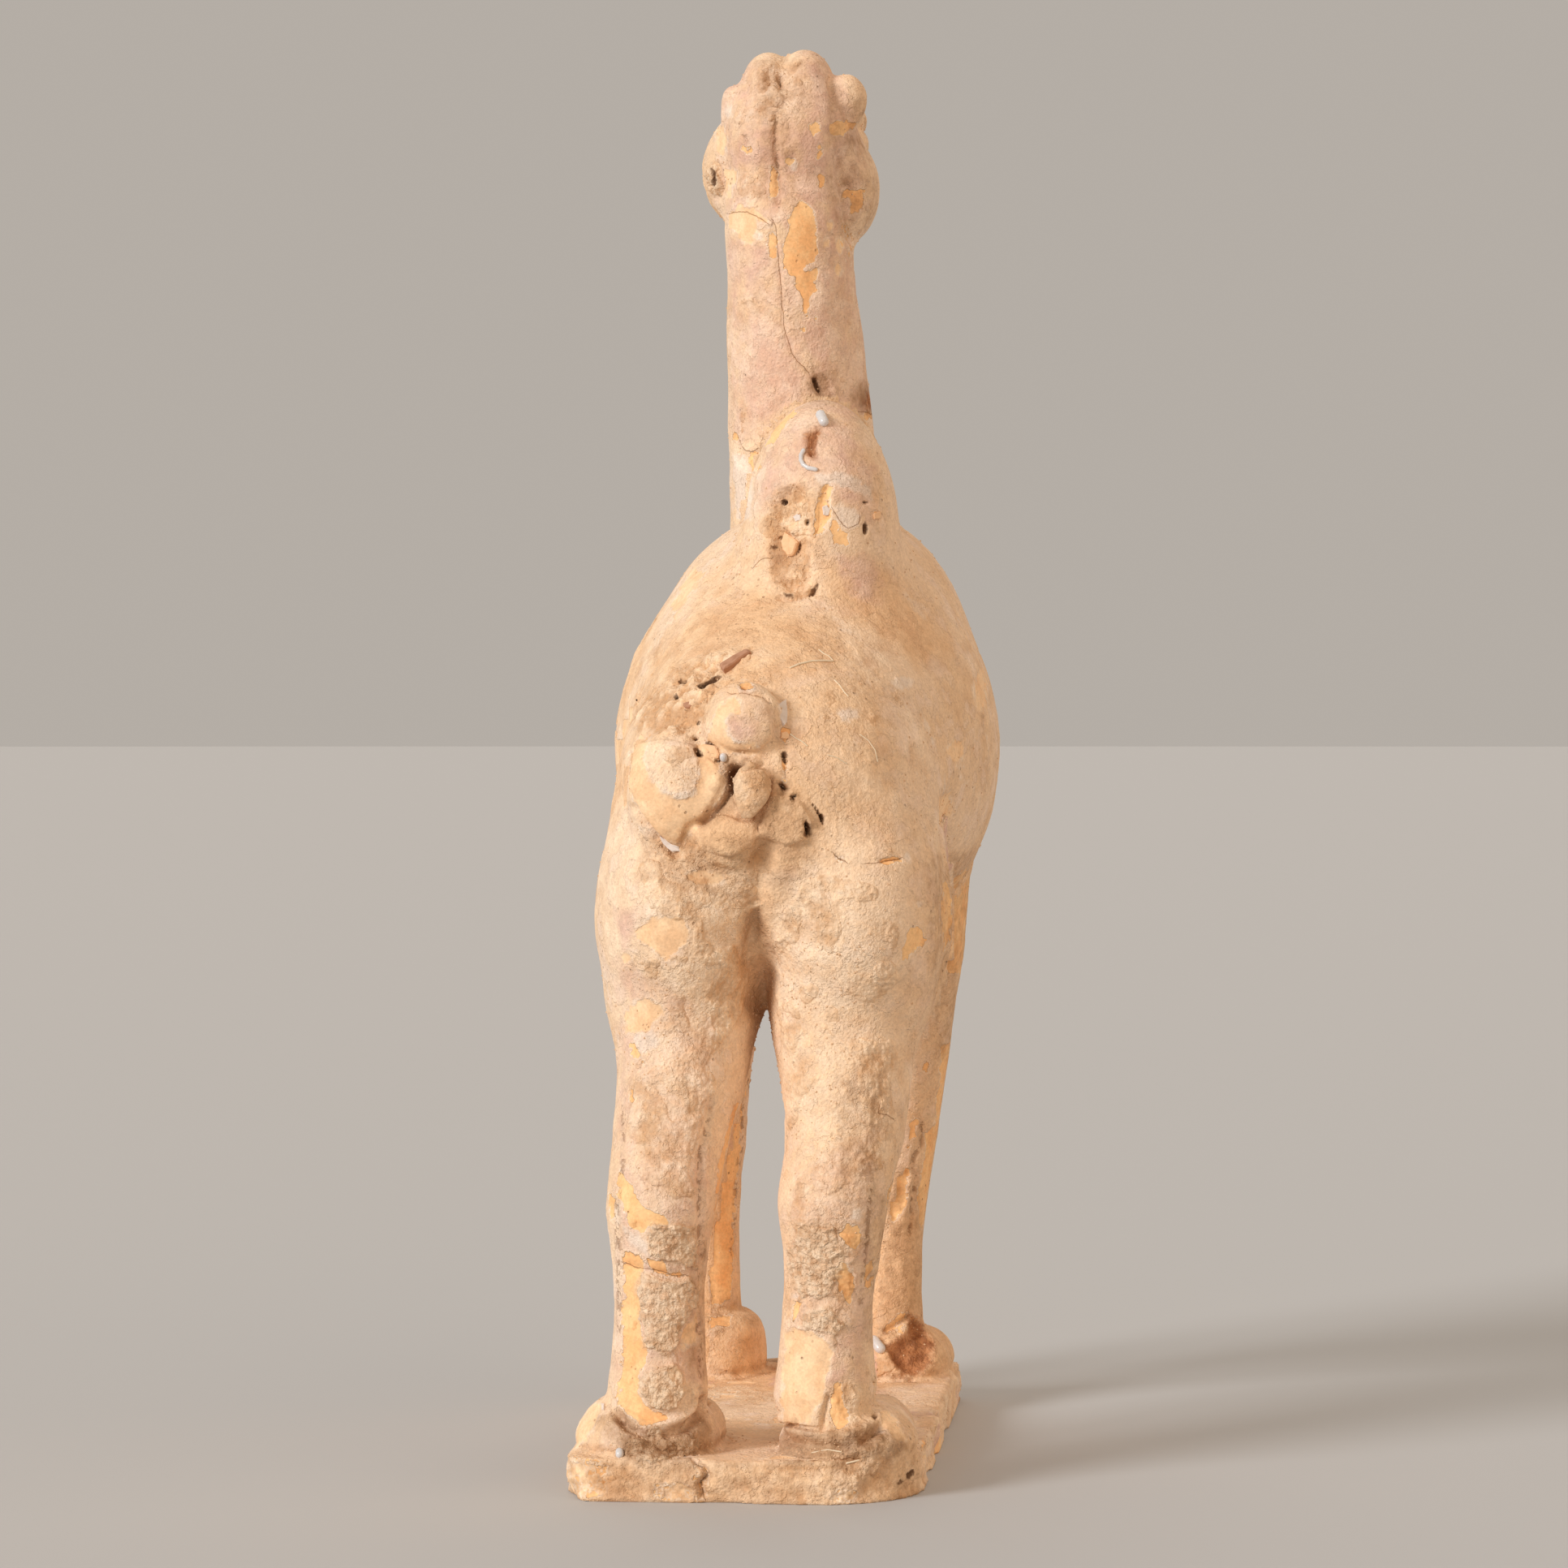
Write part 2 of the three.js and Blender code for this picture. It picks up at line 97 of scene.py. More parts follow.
def turned(q: Sequence[Array], turn: Triple) -> list[Array]:
    """Turns offsets back by degrees about X, then Y, then Z.

    Args:
        q: The three parts of the offsets.
        turn: Degrees about each axis.

    Returns:
        The three parts of the turned offsets.
    """
    q = list(q)
    for axis, degrees in enumerate(turn):
        if degrees:
            i, j = (axis + 1) % 3, (axis + 2) % 3
            c, s = math.cos(math.radians(degrees)), math.sin(math.radians(degrees))
            q[i], q[j] = c * q[i] + s * q[j], -s * q[i] + c * q[j]
    return q


def unit(vectors: Array) -> Array:
    """Vectors in three rows, each drawn out or in to a length of one."""
    return vectors / (np.sqrt((vectors**2).sum(0)) + TINY)


def lattice_hash(cell: Array, seed: int) -> Array:
    """Mixes the three numbers of each cell of a lattice into one, the same each run."""
    mixed = cell[0] * 73856093 ^ cell[1] * 19349663 ^ cell[2] * 83492791 ^ seed * 2654435761
    mixed = (mixed ^ (mixed >> 13)) * 1274126177
    return mixed ^ (mixed >> 16)


def lattice_noise(p: Array, grain: float, seed: int) -> Array:
    """Smooth noise, the same each run.

    Args:
        p: Points, three rows, in millimetres.
        grain: Size of one lump of the noise, in millimetres.
        seed: Picks one of many patterns.

    Returns:
        Values from -1 to 1, one for each point.
    """
    q = p.astype(np.float64) / grain + 13.37 * seed
    cell = np.floor(q).astype(np.int64)
    f = q - cell
    f = f * f * (3.0 - 2.0 * f)
    total = np.zeros(p.shape[1])
    for corner in range(8):
        step = np.array([[(corner >> axis) & 1] for axis in range(3)])
        value = (lattice_hash(cell + step, seed) & 0xFFFF) / 32767.5 - 1.0
        total += value * np.where(step > 0, f, 1.0 - f).prod(0)
    return total


def pebbles(p: Array, grain: float, seed: int) -> Array:
    """Rounded lumps packed side by side, with creases between them.

    Args:
        p: Points, three rows, in millimetres.
        grain: Size of one lump, in millimetres.
        seed: Picks one of many patterns.

    Returns:
        About 1 on the top of a lump, down to about 0.2 in the creases.
    """
    q = p.astype(np.float64) / grain + 13.37 * seed
    start = np.floor(q - 0.5).astype(np.int64)
    nearest = np.full(p.shape[1], 9.0)
    for corner in range(8):
        cell = start + np.array([[(corner >> axis) & 1] for axis in range(3)])
        mixed = lattice_hash(cell, seed)
        jitter = np.stack([(mixed >> 8 * axis) & 0xFF for axis in range(3)]) / 255.0
        nearest = np.minimum(nearest, ((cell + 0.2 + 0.6 * jitter - q) ** 2).sum(0))
    return 1.0 - np.sqrt(nearest)


def rough_noise(p: Array, grain: float, seed: int, octaves: int = 3) -> Array:
    """Lattice noise with finer noise laid over it, each half as large and half as strong."""
    total = np.zeros(p.shape[1])
    for octave in range(octaves):
        total += lattice_noise(p, grain / 2**octave, seed + octave) / 2**octave
    return total / 1.6


def laid(p: Array, weight: Array, height: Callable[[Array], Array]) -> Array:
    """A height times its weight, worked out only at the points where the weight isn't nothing."""
    near = weight > 0.0
    result = np.zeros(p.shape[1])
    result[near] = weight[near] * height(p[:, near])
    return result


@dataclass(frozen=True)
class Mass:
    """A mass of clay, near enough an ellipsoid, with the fillet that joins it to the rest."""

    at: Triple
    half: Triple
    blend: float = 1.0
    turn: Triple = (0.0, 0.0, 0.0)

    def distance(self, p: Array) -> Array:
        """Signed distance to the skin of the mass, near enough close to it."""
        q = turned([p[i] - self.at[i] for i in range(3)], self.turn)
        reach = np.sqrt(sum((q[i] / self.half[i]) ** 2 for i in range(3)))
        slope = np.sqrt(sum((q[i] / self.half[i] ** 2) ** 2 for i in range(3))) + TINY
        return reach * (reach - 1.0) / slope

    def box(self) -> tuple[Array, Array]:
        """Corners of a box that holds the mass at any turn."""
        reach = max(self.half) if any(self.turn) else np.array(self.half)
        return np.array(self.at) - reach, np.array(self.at) + reach


@dataclass(frozen=True)
class Bar:
    """A round bar between two points, thicker at its start."""

    start: Triple
    end: Triple
    thick: float
    thin: float
    blend: float = 1.0

    def distance(self, p: Array) -> Array:
        """Signed distance to the skin of the bar."""
        run = np.subtract(self.end, self.start)
        off = [p[i] - self.start[i] for i in range(3)]
        t = np.clip(sum(off[i] * run[i] for i in range(3)) / (run @ run), 0.0, 1.0)
        gap = np.sqrt(sum((off[i] - t * run[i]) ** 2 for i in range(3)))
        return gap - (self.thick + (self.thin - self.thick) * t)

    def box(self) -> tuple[Array, Array]:
        """Corners of a box that holds the bar."""
        ends = np.array([self.start, self.end])
        return ends.min(0) - self.thick, ends.max(0) + self.thick


def smooth_curve(knots: Array, values: Array, at: Array) -> Array:
    """A smooth curve through values at rising knots, flat past its ends.

    Args:
        knots: Places of the values along the curve, rising.
        values: Values that the curve passes through.
        at: Places at which the curve is wanted.

    Returns:
        The curve's values at those places.
    """
    step = np.diff(knots)
    rise = np.diff(values) / step
    slope = np.empty(len(knots))
    slope[0], slope[-1] = rise[0], rise[-1]
    slope[1:-1] = (rise[:-1] * step[:-1] + rise[1:] * step[1:]) / (step[:-1] + step[1:])
    t = np.clip(at, knots[0], knots[-1])
    i = np.clip(np.searchsorted(knots, t, side="right") - 1, 0, len(knots) - 2)
    u = (t - knots[i]) / step[i]
    keep = (1.0 + 2.0 * u) * (1.0 - u) ** 2
    bend = u * (1.0 - u) ** 2 * slope[i] + u * u * (u - 1.0) * slope[i + 1]
    return keep * values[i] + (1.0 - keep) * values[i + 1] + step[i] * bend


@dataclass(frozen=True)
class Limb:
    """Elliptical sections strung along one axis: place along it, two middles, two half sizes."""

    sections: tuple[tuple[float, float, float, float, float], ...]
    axis: int = 2
    blend: float = 1.0

    def distance(self, p: Array) -> Array:
        """Signed distance to the skin of the limb, near enough close to it."""
        columns = np.array(sorted(self.sections)).T
        knots = columns[0]
        i, j = [other for other in range(3) if other != self.axis]
        c1, c2, half1, half2 = (smooth_curve(knots, values, p[self.axis]) for values in columns[1:])
        u, v = (p[i] - c1) / half1, (p[j] - c2) / half2
        reach = np.sqrt(u * u + v * v) + TINY
        slope = np.sqrt((u / half1) ** 2 + (v / half2) ** 2) / reach + TINY
        side = (reach - 1.0) / slope
        end = np.maximum(knots[0] - p[self.axis], p[self.axis] - knots[-1])
        outside = np.hypot(np.maximum(side, 0.0), np.maximum(end, 0.0))
        return np.where((side > 0.0) | (end > 0.0), outside, np.maximum(side, end))

    def box(self) -> tuple[Array, Array]:
        """Corners of a box that holds the limb."""
        along, *middles_and_halves = np.array(self.sections).T
        low, high = np.zeros(3), np.zeros(3)
        low[self.axis], high[self.axis] = along.min(), along.max()
        for k, other in enumerate([axis for axis in range(3) if axis != self.axis]):
            middle, half = middles_and_halves[k], middles_and_halves[k + 2]
            low[other], high[other] = (middle - half).min(), (middle + half).max()
        return low, high


def leg(rows: Sequence[Sequence[float]], column: int) -> Limb:
    """A leg from rows of z, y, half width, half depth, left x and right x.

    Args:
        rows: The sections up the leg.
        column: Which of the last two columns holds this leg's x.

    Returns:
        The leg's limb.
    """
    return Limb(tuple((row[0], row[column], row[1], row[2], row[3]) for row in rows))


@dataclass
class Slab:
    """The base slab: a thin rectangle with a worn upper arris, round corners and bites out of its edge."""

    left: float = 50.2
    right: float = -49.2
    front: float = -111.0
    back: float = 98.0
    thick: float = 12.0
    arris: float = 2.0
    corners: Sequence[tuple[int, int, float]] = ((1, 1, 12.0), (-1, 1, 30.0), (1, -1, 9.0), (-1, -1, 7.0))
    chips: Sequence[Mass] = (
        Mass((-55.0, 44.0, 2.0), (8.0, 12.0, 12.0)),
        Mass((-54.0, 12.0, 0.0), (7.0, 9.0, 14.0)),
        Mass((-53.0, -32.0, 0.0), (5.0, 15.0, 14.0)),
        Mass((-41.0, 106.0, 2.0), (15.0, 11.0, 12.0)),
        Mass((5.0, 101.0, -1.0), (12.0, 4.5, 9.0)),
        Mass((55.0, 97.0, -3.0), (10.0, 18.0, 10.0)),
        Mass((-50.5, 62.0, 14.0), (4.5, 6.0, 7.0)),
        Mass((-51.5, -4.0, 13.0), (4.5, 8.0, 7.0)),
    )
    chip_blend: float = 2.0

    def distance(self, p: Array) -> Array:
        """Signed distance to the slab's skin."""
        middle = ((self.left + self.right) / 2.0, (self.front + self.back) / 2.0)
        radius = np.zeros(p.shape[1])
        for side_x, side_y, size in self.corners:
            here = ((p[0] - middle[0]) * side_x >= 0.0) & ((p[1] - middle[1]) * side_y >= 0.0)
            radius[here] = size
        a = np.abs(p[0] - middle[0]) - (self.left - self.right) / 2.0 + radius
        b = np.abs(p[1] - middle[1]) - (self.back - self.front) / 2.0 + radius
        plan = np.hypot(np.maximum(a, 0.0), np.maximum(b, 0.0)) + np.minimum(np.maximum(a, b), 0.0) - radius
        for chip in self.chips:
            plan = carve(plan, -chip.distance(p), self.chip_blend)
        a = plan + self.arris
        b = p[2] - self.thick + self.arris
        corner = np.hypot(np.maximum(a, 0.0), np.maximum(b, 0.0))
        return np.maximum(corner + np.minimum(np.maximum(a, b), 0.0) - self.arris, -p[2])


@dataclass
class ClayForm:
    """The whole figure as one smooth form, before its surface is worked."""

    rise: float = 1.0
    slab: Slab = field(default_factory=Slab)
    slab_blend: float = 2.0
    barrel: Mass = Mass((-8.4, -20.0, 206.0), (57.2, 88.0, 65.0))
    trunk: Sequence[Mass] = (
        Mass((-10.2, -30.0, 247.0), (38.8, 60.0, 33.0), 14.0),
        Mass((-5.0, -62.0, 196.0), (49.0, 40.0, 54.0), 14.0),
        Mass((-5.0, 50.0, 190.0), (46.0, 46.0, 48.0), 16.0),
    )
    humps: Sequence[Mass] = (
        Mass((-15.3, 16.0, 270.0), (22.3, 27.0, 38.5), 11.0, (5.0, 0.0, 0.0)),
        Mass((-9.0, -46.0, 268.0), (20.0, 24.0, 35.0), 11.0, (-8.0, 0.0, 0.0)),
    )
    hind_leg: Sequence[Sequence[float]] = (
        (178.0, 40.0, 6.0, 9.0, 19.0, -26.0),
        (165.0, 44.0, 13.0, 19.0, 19.0, -26.0),
        (150.0, 50.0, 18.0, 28.0, 19.0, -26.4),
        (135.0, 57.0, 20.5, 27.0, 20.5, -25.3),
        (117.0, 65.0, 18.6, 23.0, 19.8, -26.4),
        (99.0, 72.0, 16.4, 19.0, 22.0, -27.0),
        (81.0, 78.5, 15.6, 18.0, 23.8, -24.3),
        (67.0, 79.5, 13.7, 14.5, 24.2, -23.9),
        (54.0, 79.0, 12.7, 13.0, 24.4, -22.8),
        (38.0, 78.5, 13.1, 13.5, 24.8, -22.0),
        (27.0, 78.5, 14.0, 14.0, 25.0, -21.5),
        (20.0, 78.5, 12.5, 13.0, 25.0, -21.5),
    )
    fore_leg: Sequence[Sequence[float]] = (
        (178.0, -58.0, 5.0, 8.0, 30.0, -31.0),
        (165.0, -60.0, 12.0, 17.0, 30.0, -31.0),
        (150.0, -62.0, 17.5, 27.0, 30.0, -31.4),
        (135.0, -67.0, 19.0, 24.0, 30.2, -31.0),
        (117.0, -73.0, 17.0, 20.0, 30.4, -31.0),
        (99.0, -78.0, 14.9, 16.0, 30.7, -30.4),
        (81.0, -81.0, 13.6, 15.5, 31.0, -28.8),
        (54.0, -80.0, 11.9, 12.0, 31.0, -26.7),
        (38.0, -79.5, 11.8, 12.0, 30.8, -26.4),
        (27.0, -79.5, 12.6, 13.0, 30.6, -26.2),
        (20.0, -79.5, 11.5, 12.0, 30.4, -26.0),
    )
    leg_blend: float = 8.0
    thighs: Sequence[Mass] = (
        Mass((19.0, 56.0, 160.0), (26.5, 38.0, 42.0), 8.0, (-12.0, 0.0, 0.0)),
        Mass((-29.5, 56.0, 160.0), (26.5, 38.0, 42.0), 8.0, (-12.0, 0.0, 0.0)),
    )
    shoulders: Sequence[Mass] = (
        Mass((26.0, -64.0, 168.0), (20.0, 30.0, 44.0), 8.0, (8.0, 0.0, 0.0)),
        Mass((-34.0, -64.0, 168.0), (20.0, 30.0, 44.0), 8.0, (8.0, 0.0, 0.0)),
    )
    cleft_blend: float = 3.0
    thigh_blend: float = 7.0
    toes: Sequence[Triple] = ((28.0, 61.0, 9.5), (-28.5, 61.0, 7.0), (31.5, -93.0, 8.0), (-29.5, -93.0, 7.5))
    foot_pads: Sequence[Mass | Limb] = (
        Mass((28.3, 75.0, 12.0), (20.5, 20.5, 16.3)),
        Mass((-28.3, 75.0, 12.5), (19.6, 20.0, 12.6)),
        Limb(
            (
                (8.0, 30.5, -80.0, 20.0, 22.0),
                (20.0, 30.5, -80.0, 19.6, 21.0),
                (26.0, 30.5, -79.5, 18.6, 19.0),
                (29.5, 30.6, -79.5, 15.6, 15.5),
                (31.0, 30.6, -79.5, 11.0, 11.0),
            )
        ),
        Mass((-28.6, -79.0, 13.0), (18.6, 20.0, 15.5)),
    )
    toe_half: Triple = (10.5, 14.0, 10.0)
    foot_blend: float = 2.5
    neck: Limb = Limb(
        (
            (190.0, -4.0, -76.0, 24.0, 26.0),
            (215.0, -3.2, -90.0, 29.0, 36.0),
            (240.0, -0.6, -102.0, 26.5, 38.0),
            (265.0, 0.9, -110.0, 24.4, 33.0),
            (290.0, 1.7, -113.0, 23.6, 29.0),
            (312.0, 2.9, -113.0, 23.0, 26.5),
            (332.0, 4.0, -111.0, 22.0, 25.0),
            (355.0, 5.2, -108.0, 20.6, 24.0),
            (378.0, 5.9, -106.0, 20.0, 23.0),
            (404.0, 6.0, -110.0, 12.0, 14.0),
        )
    )
    neck_blend: float = 12.0
    mane_locks: int = 7
    mane_top: float = 366.0
    mane_drop: float = 118.0
    mane_y: float = -133.0
    mane_half: Triple = (8.6, 8.0, 14.5)
    skull: Limb = Limb(
        (
            (-198.0, 6.5, 392.0, 5.0, 5.0),
            (-195.0, 6.5, 391.5, 10.0, 10.0),
            (-188.0, 6.5, 391.0, 14.6, 14.0),
            (-164.0, 6.5, 393.0, 15.2, 15.5),
            (-150.0, 6.5, 396.0, 17.2, 18.0),
            (-134.0, 6.3, 398.5, 20.0, 20.5),
            (-118.0, 6.0, 400.5, 21.5, 21.5),
            (-104.0, 6.0, 401.0, 21.2, 21.0),
            (-94.0, 5.8, 401.0, 18.5, 19.0),
            (-87.0, 5.8, 400.5, 13.0, 14.0),
            (-83.0, 5.8, 400.0, 5.0, 6.0),
        ),
        axis=1,
    )
    head_blend: float = 7.0
    face_x: float = 6.4
    jaw: Bar = Bar((6.0, -118.0, 384.0), (6.5, -174.0, 378.0), 14.0, 8.5, 5.0)
    lower_lip: Mass = Mass((6.5, -181.0, 377.5), (9.5, 9.5, 7.0), 2.5)
    nose: Mass = Mass((6.5, -186.0, 395.0), (13.6, 11.0, 9.0), 4.0, (10.0, 0.0, 0.0))
    ears: Sequence[Mass] = (
        Mass((21.3, -103.0, 408.0), (5.9, 6.0, 9.5), 2.2, (-10.0, 14.0, 0.0)),
        Mass((-11.9, -103.0, 411.0), (7.4, 7.0, 9.4), 1.8, (-10.0, -14.0, 0.0)),
    )
    topknot: Sequence[Mass] = (
        Mass((11.8, -105.0, 413.8), (9.6, 16.0, 13.8), 3.0),
        Mass((0.5, -105.0, 414.8), (10.0, 16.0, 13.8), 3.0),
    )
    tail: Sequence[Mass] = (
        Mass((-0.4, 88.5, 214.0), (11.5, 9.5, 11.5), 3.0),
        Mass((19.5, 83.0, 195.0), (14.0, 12.5, 17.5), 3.0, (0.0, 0.0, -14.0)),
        Mass((4.2, 92.0, 181.5), (9.0, 6.5, 7.5), 2.5),
        Mass((-2.4, 94.5, 196.5), (5.4, 6.0, 8.5), 1.5),
    )
    reach_beyond: float = 26.0

    def add(self, d: Array, p: Array, shape: Mass | Bar | Limb, blend: float | None = None) -> None:
        """Joins a shape onto the distances, in place, where it comes near.

        Args:
            d: Signed distances so far, changed in place.
            p: The points, three rows.
            shape: The shape to join on.
            blend: Width of the fillet, or the shape's own.
        """
        low, high = shape.box()
        near = np.ones(p.shape[1], bool)
        for axis in range(3):
            near &= (p[axis] > low[axis] - self.reach_beyond) & (p[axis] < high[axis] + self.reach_beyond)
        d[near] = fuse(d[near], shape.distance(p[:, near]), blend or shape.blend)

    def add_legs(self, d: Array, p: Array) -> None:
        """Joins the four legs with their muscles and feet onto the distances, in place."""
        thighs = np.full(p.shape[1], APART_MM)
        for side, muscle in enumerate(self.thighs):
            one = np.full(p.shape[1], APART_MM)
            self.add(one, p, muscle)
            self.add(one, p, leg(self.hind_leg, 4 + side), self.leg_blend)
            thighs = fuse(thighs, one, self.cleft_blend)
        d[:] = fuse(d, thighs, self.thigh_blend)
        for side, muscle in enumerate(self.shoulders):
            one = np.full(p.shape[1], APART_MM)
            self.add(one, p, muscle)
            self.add(one, p, leg(self.fore_leg, 4 + side), self.leg_blend)
            d[:] = fuse(d, one, self.leg_blend)
        for (x, y, apart), pad in zip(self.toes, self.foot_pads):
            foot = np.full(p.shape[1], APART_MM)
            self.add(foot, p, pad)
            for side in (1.0, -1.0):
                toe = Mass((x + apart * side, y, 14.0), self.toe_half, 3.0, (0.0, 0.0, -8.0 * side))
                self.add(foot, p, toe)
            d[:] = fuse(d, foot, self.foot_blend)

    def mane(self) -> list[Mass]:
        """The locks of the mane, in a row down the throat."""
        locks = []
        for i in range(self.mane_locks):
            t = i / (self.mane_locks - 1)
            y = self.mane_y - 8.0 * math.sin(3.0 * t) + 2.0 * t
            at = (4.6 - 5.0 * t, y, self.mane_top - t * self.mane_drop)
            locks.append(Mass(at, self.mane_half, 2.5, (10.0 * t - 14.0, 0.0, 0.0)))
        return locks

    def head(self, p: Array) -> Array:
        """Signed distance to the head, with its face, ears and topknot."""
        d = self.skull.distance(p)
        for shape in (self.jaw, self.lower_lip, self.nose):
            d = fuse(d, shape.distance(p), shape.blend)
        for side in (1.0, -1.0):
            x = self.face_x
            cheek_z = 392.0 if side > 0.0 else 385.5
            cheek = Mass((x + 16.9 * side, -119.0, cheek_z), (11.4, 19.0, 17.0), 5.0)
            brow = Mass((x + 15.5 * side, -134.0, 411.0), (7.0, 13.5, 5.5), 3.0, (14.0, 0.0, 12.0 * side))
            eye = Mass((x + 18.6 * side, -136.0, 402.5), (5.0, 7.5, 5.6), 1.5, (8.0, 0.0, 12.0 * side))
            for shape in (cheek, brow, eye):
                d = fuse(d, shape.distance(p), shape.blend)
            nostril = Mass((x + 9.5 * side, -195.0, 397.0), (5.5, 3.4, 3.0), 1.5, (0.0, 0.0, 35.0 * side))
            d = carve(d, -nostril.distance(p), nostril.blend)
        mouth = np.abs(p[2] - 384.0 - 0.05 * (p[1] + 170.0)) - 1.6
        mouth = np.maximum(np.maximum(mouth, p[1] + 156.0), 9.0 - np.abs(p[0] - self.face_x))
        d = carve(d, -mouth, 1.5)
        for shape in (*self.ears, *self.topknot):
            d = fuse(d, shape.distance(p), shape.blend)
        return d

    def distance(self, p: Array) -> Array:
        """Signed distance to the whole figure.

        Args:
            p: Points, three rows, in millimetres.

        Returns:
            Signed distances, below zero inside the clay.
        """
        ground = p
        p = p - np.array([[0.0], [0.0], [self.rise]])
        d = self.barrel.distance(p)
        for mass in self.trunk:
            self.add(d, p, mass)
        self.add_legs(d, p)
        for mass in self.humps:
            self.add(d, p, mass)
        self.add(d, p, self.neck, self.neck_blend)
        for mass in (*self.mane(), *self.tail):
            self.add(d, p, mass)
        high = p[2] > self.skull.sections[0][2] - 60.0
        d[high] = fuse(d[high], self.head(p[:, high]), self.head_blend)
        low = ground[2] < 4.0 * self.slab.thick
        d[low] = fuse(d[low], self.slab.distance(ground[:, low]), self.slab_blend)
        return d

    def slope(self, p: Array, step: float = 0.25) -> Array:
        """Slope of the distance at each point, three rows, by small steps each way."""
        rows = []
        for axis in range(3):
            shift = np.zeros((3, 1))
            shift[axis] = step
            rows.append((self.distance(p + shift) - self.distance(p - shift)) / (2.0 * step))
        return np.stack(rows)

    def outward(self, p: Array) -> Array:
        """The outward directions of the form near points, three rows."""
        return unit(self.slope(p))

    def settle(self, p: Array, steps: int, limit: float = 1.5) -> Array:
        """Moves points along the slope of the form until they lie on its skin.

        Args:
            p: Points near the skin, three rows.
            steps: How many moves to make.
            limit: Longest single move.

        Returns:
            The moved points.
        """
        for _ in range(steps):
            slope = self.slope(p)
            move = -self.distance(p) * slope / ((slope**2).sum(0) + TINY)
            length = np.sqrt((move**2).sum(0)) + TINY
            p = p + move * np.minimum(1.0, limit / length)
        return p


@dataclass
class SurfaceNet:
    """A closed net of quads over a form: a corner in each grid cell that the skin crosses."""

    low: Triple = (-70.0, -203.0, -4.0)
    high: Triple = (56.0, 108.0, 434.0)
    spacing: float = 1.5

    def make(self, distance: Callable[[Array], Array]) -> tuple[Array, Array]:
        """Makes the net.

        Args:
            distance: Signed distance of the form at points in three rows.

        Returns:
            Corners in three rows, and quads as rows of four corner numbers.
        """
        lines = [np.arange(self.low[i], self.high[i] + self.spacing, self.spacing) for i in range(3)]
        value = np.stack([self.sheet(distance, x, lines[1], lines[2]) for x in lines[0]])
        inside = value < 0.0
        count = inside.astype(int)
        for axis in range(3):
            ends = [slice(None)] * 3
            starts = [slice(None)] * 3
            starts[axis], ends[axis] = slice(0, -1), slice(1, None)
            count = count[tuple(starts)] + count[tuple(ends)]
        cells = np.array(np.nonzero((count > 0) & (count < 8)))
        number = np.full(count.shape, -1)
        number[tuple(cells)] = np.arange(cells.shape[1])
        corners = self.crossing_middles(cells, value, lines)
        quads = [self.quads_along(axis, inside, number) for axis in range(3)]
        return corners, np.concatenate(quads)

    @staticmethod
    def sheet(distance: Callable[[Array], Array], x: float, ys: Array, zs: Array) -> Array:
        """Distances over one upright sheet of the grid."""
        y, z = np.meshgrid(ys, zs, indexing="ij")
        return distance(np.stack([np.full(y.size, x), y.ravel(), z.ravel()])).reshape(y.shape)

    def crossing_middles(self, cells: Array, value: Array, lines: Sequence[Array]) -> Array:
        """The middle of the places where the skin crosses the edges of each cell."""
        total = np.zeros((3, cells.shape[1]))
        hits = np.zeros(cells.shape[1])
        for axis in range(3):
            for corner in range(4):
                low = cells.copy()
                low[(axis + 1) % 3] += corner & 1
                low[(axis + 2) % 3] += corner >> 1
                high = low.copy()
                high[axis] += 1
                a, b = value[tuple(low)], value[tuple(high)]
                crossed = (a < 0.0) != (b < 0.0)
                t = np.where(crossed, a / np.where(crossed, a - b, 1.0), 0.0)
                place = np.stack([lines[i][low[i]] for i in range(3)])
                place[axis] += t * self.spacing
                total += np.where(crossed, place, 0.0)
                hits += crossed
        return total / hits

    def quads_along(self, axis: int, inside: Array, number: Array) -> Array:
        """The quads round the crossed grid edges that run along one axis."""
        first = [slice(1, -1)] * 3
        second = [slice(1, -1)] * 3
        first[axis], second[axis] = slice(0, -1), slice(1, None)
        starts_inside = inside[tuple(first)]
        edges = np.nonzero(starts_inside != inside[tuple(second)])
        base = [edges[i] + (i != axis) for i in range(3)]
        u, v = (axis + 1) % 3, (axis + 2) % 3
        ring = []
        for du, dv in ((1, 1), (0, 1), (0, 0), (1, 0)):
            cell = [part.copy() for part in base]
            cell[u] -= du
            cell[v] -= dv
            ring.append(number[tuple(cell)])
        quads = np.stack(ring, axis=1)
        back = ~starts_inside[edges]
        quads[back] = quads[back][:, ::-1]
        return quads


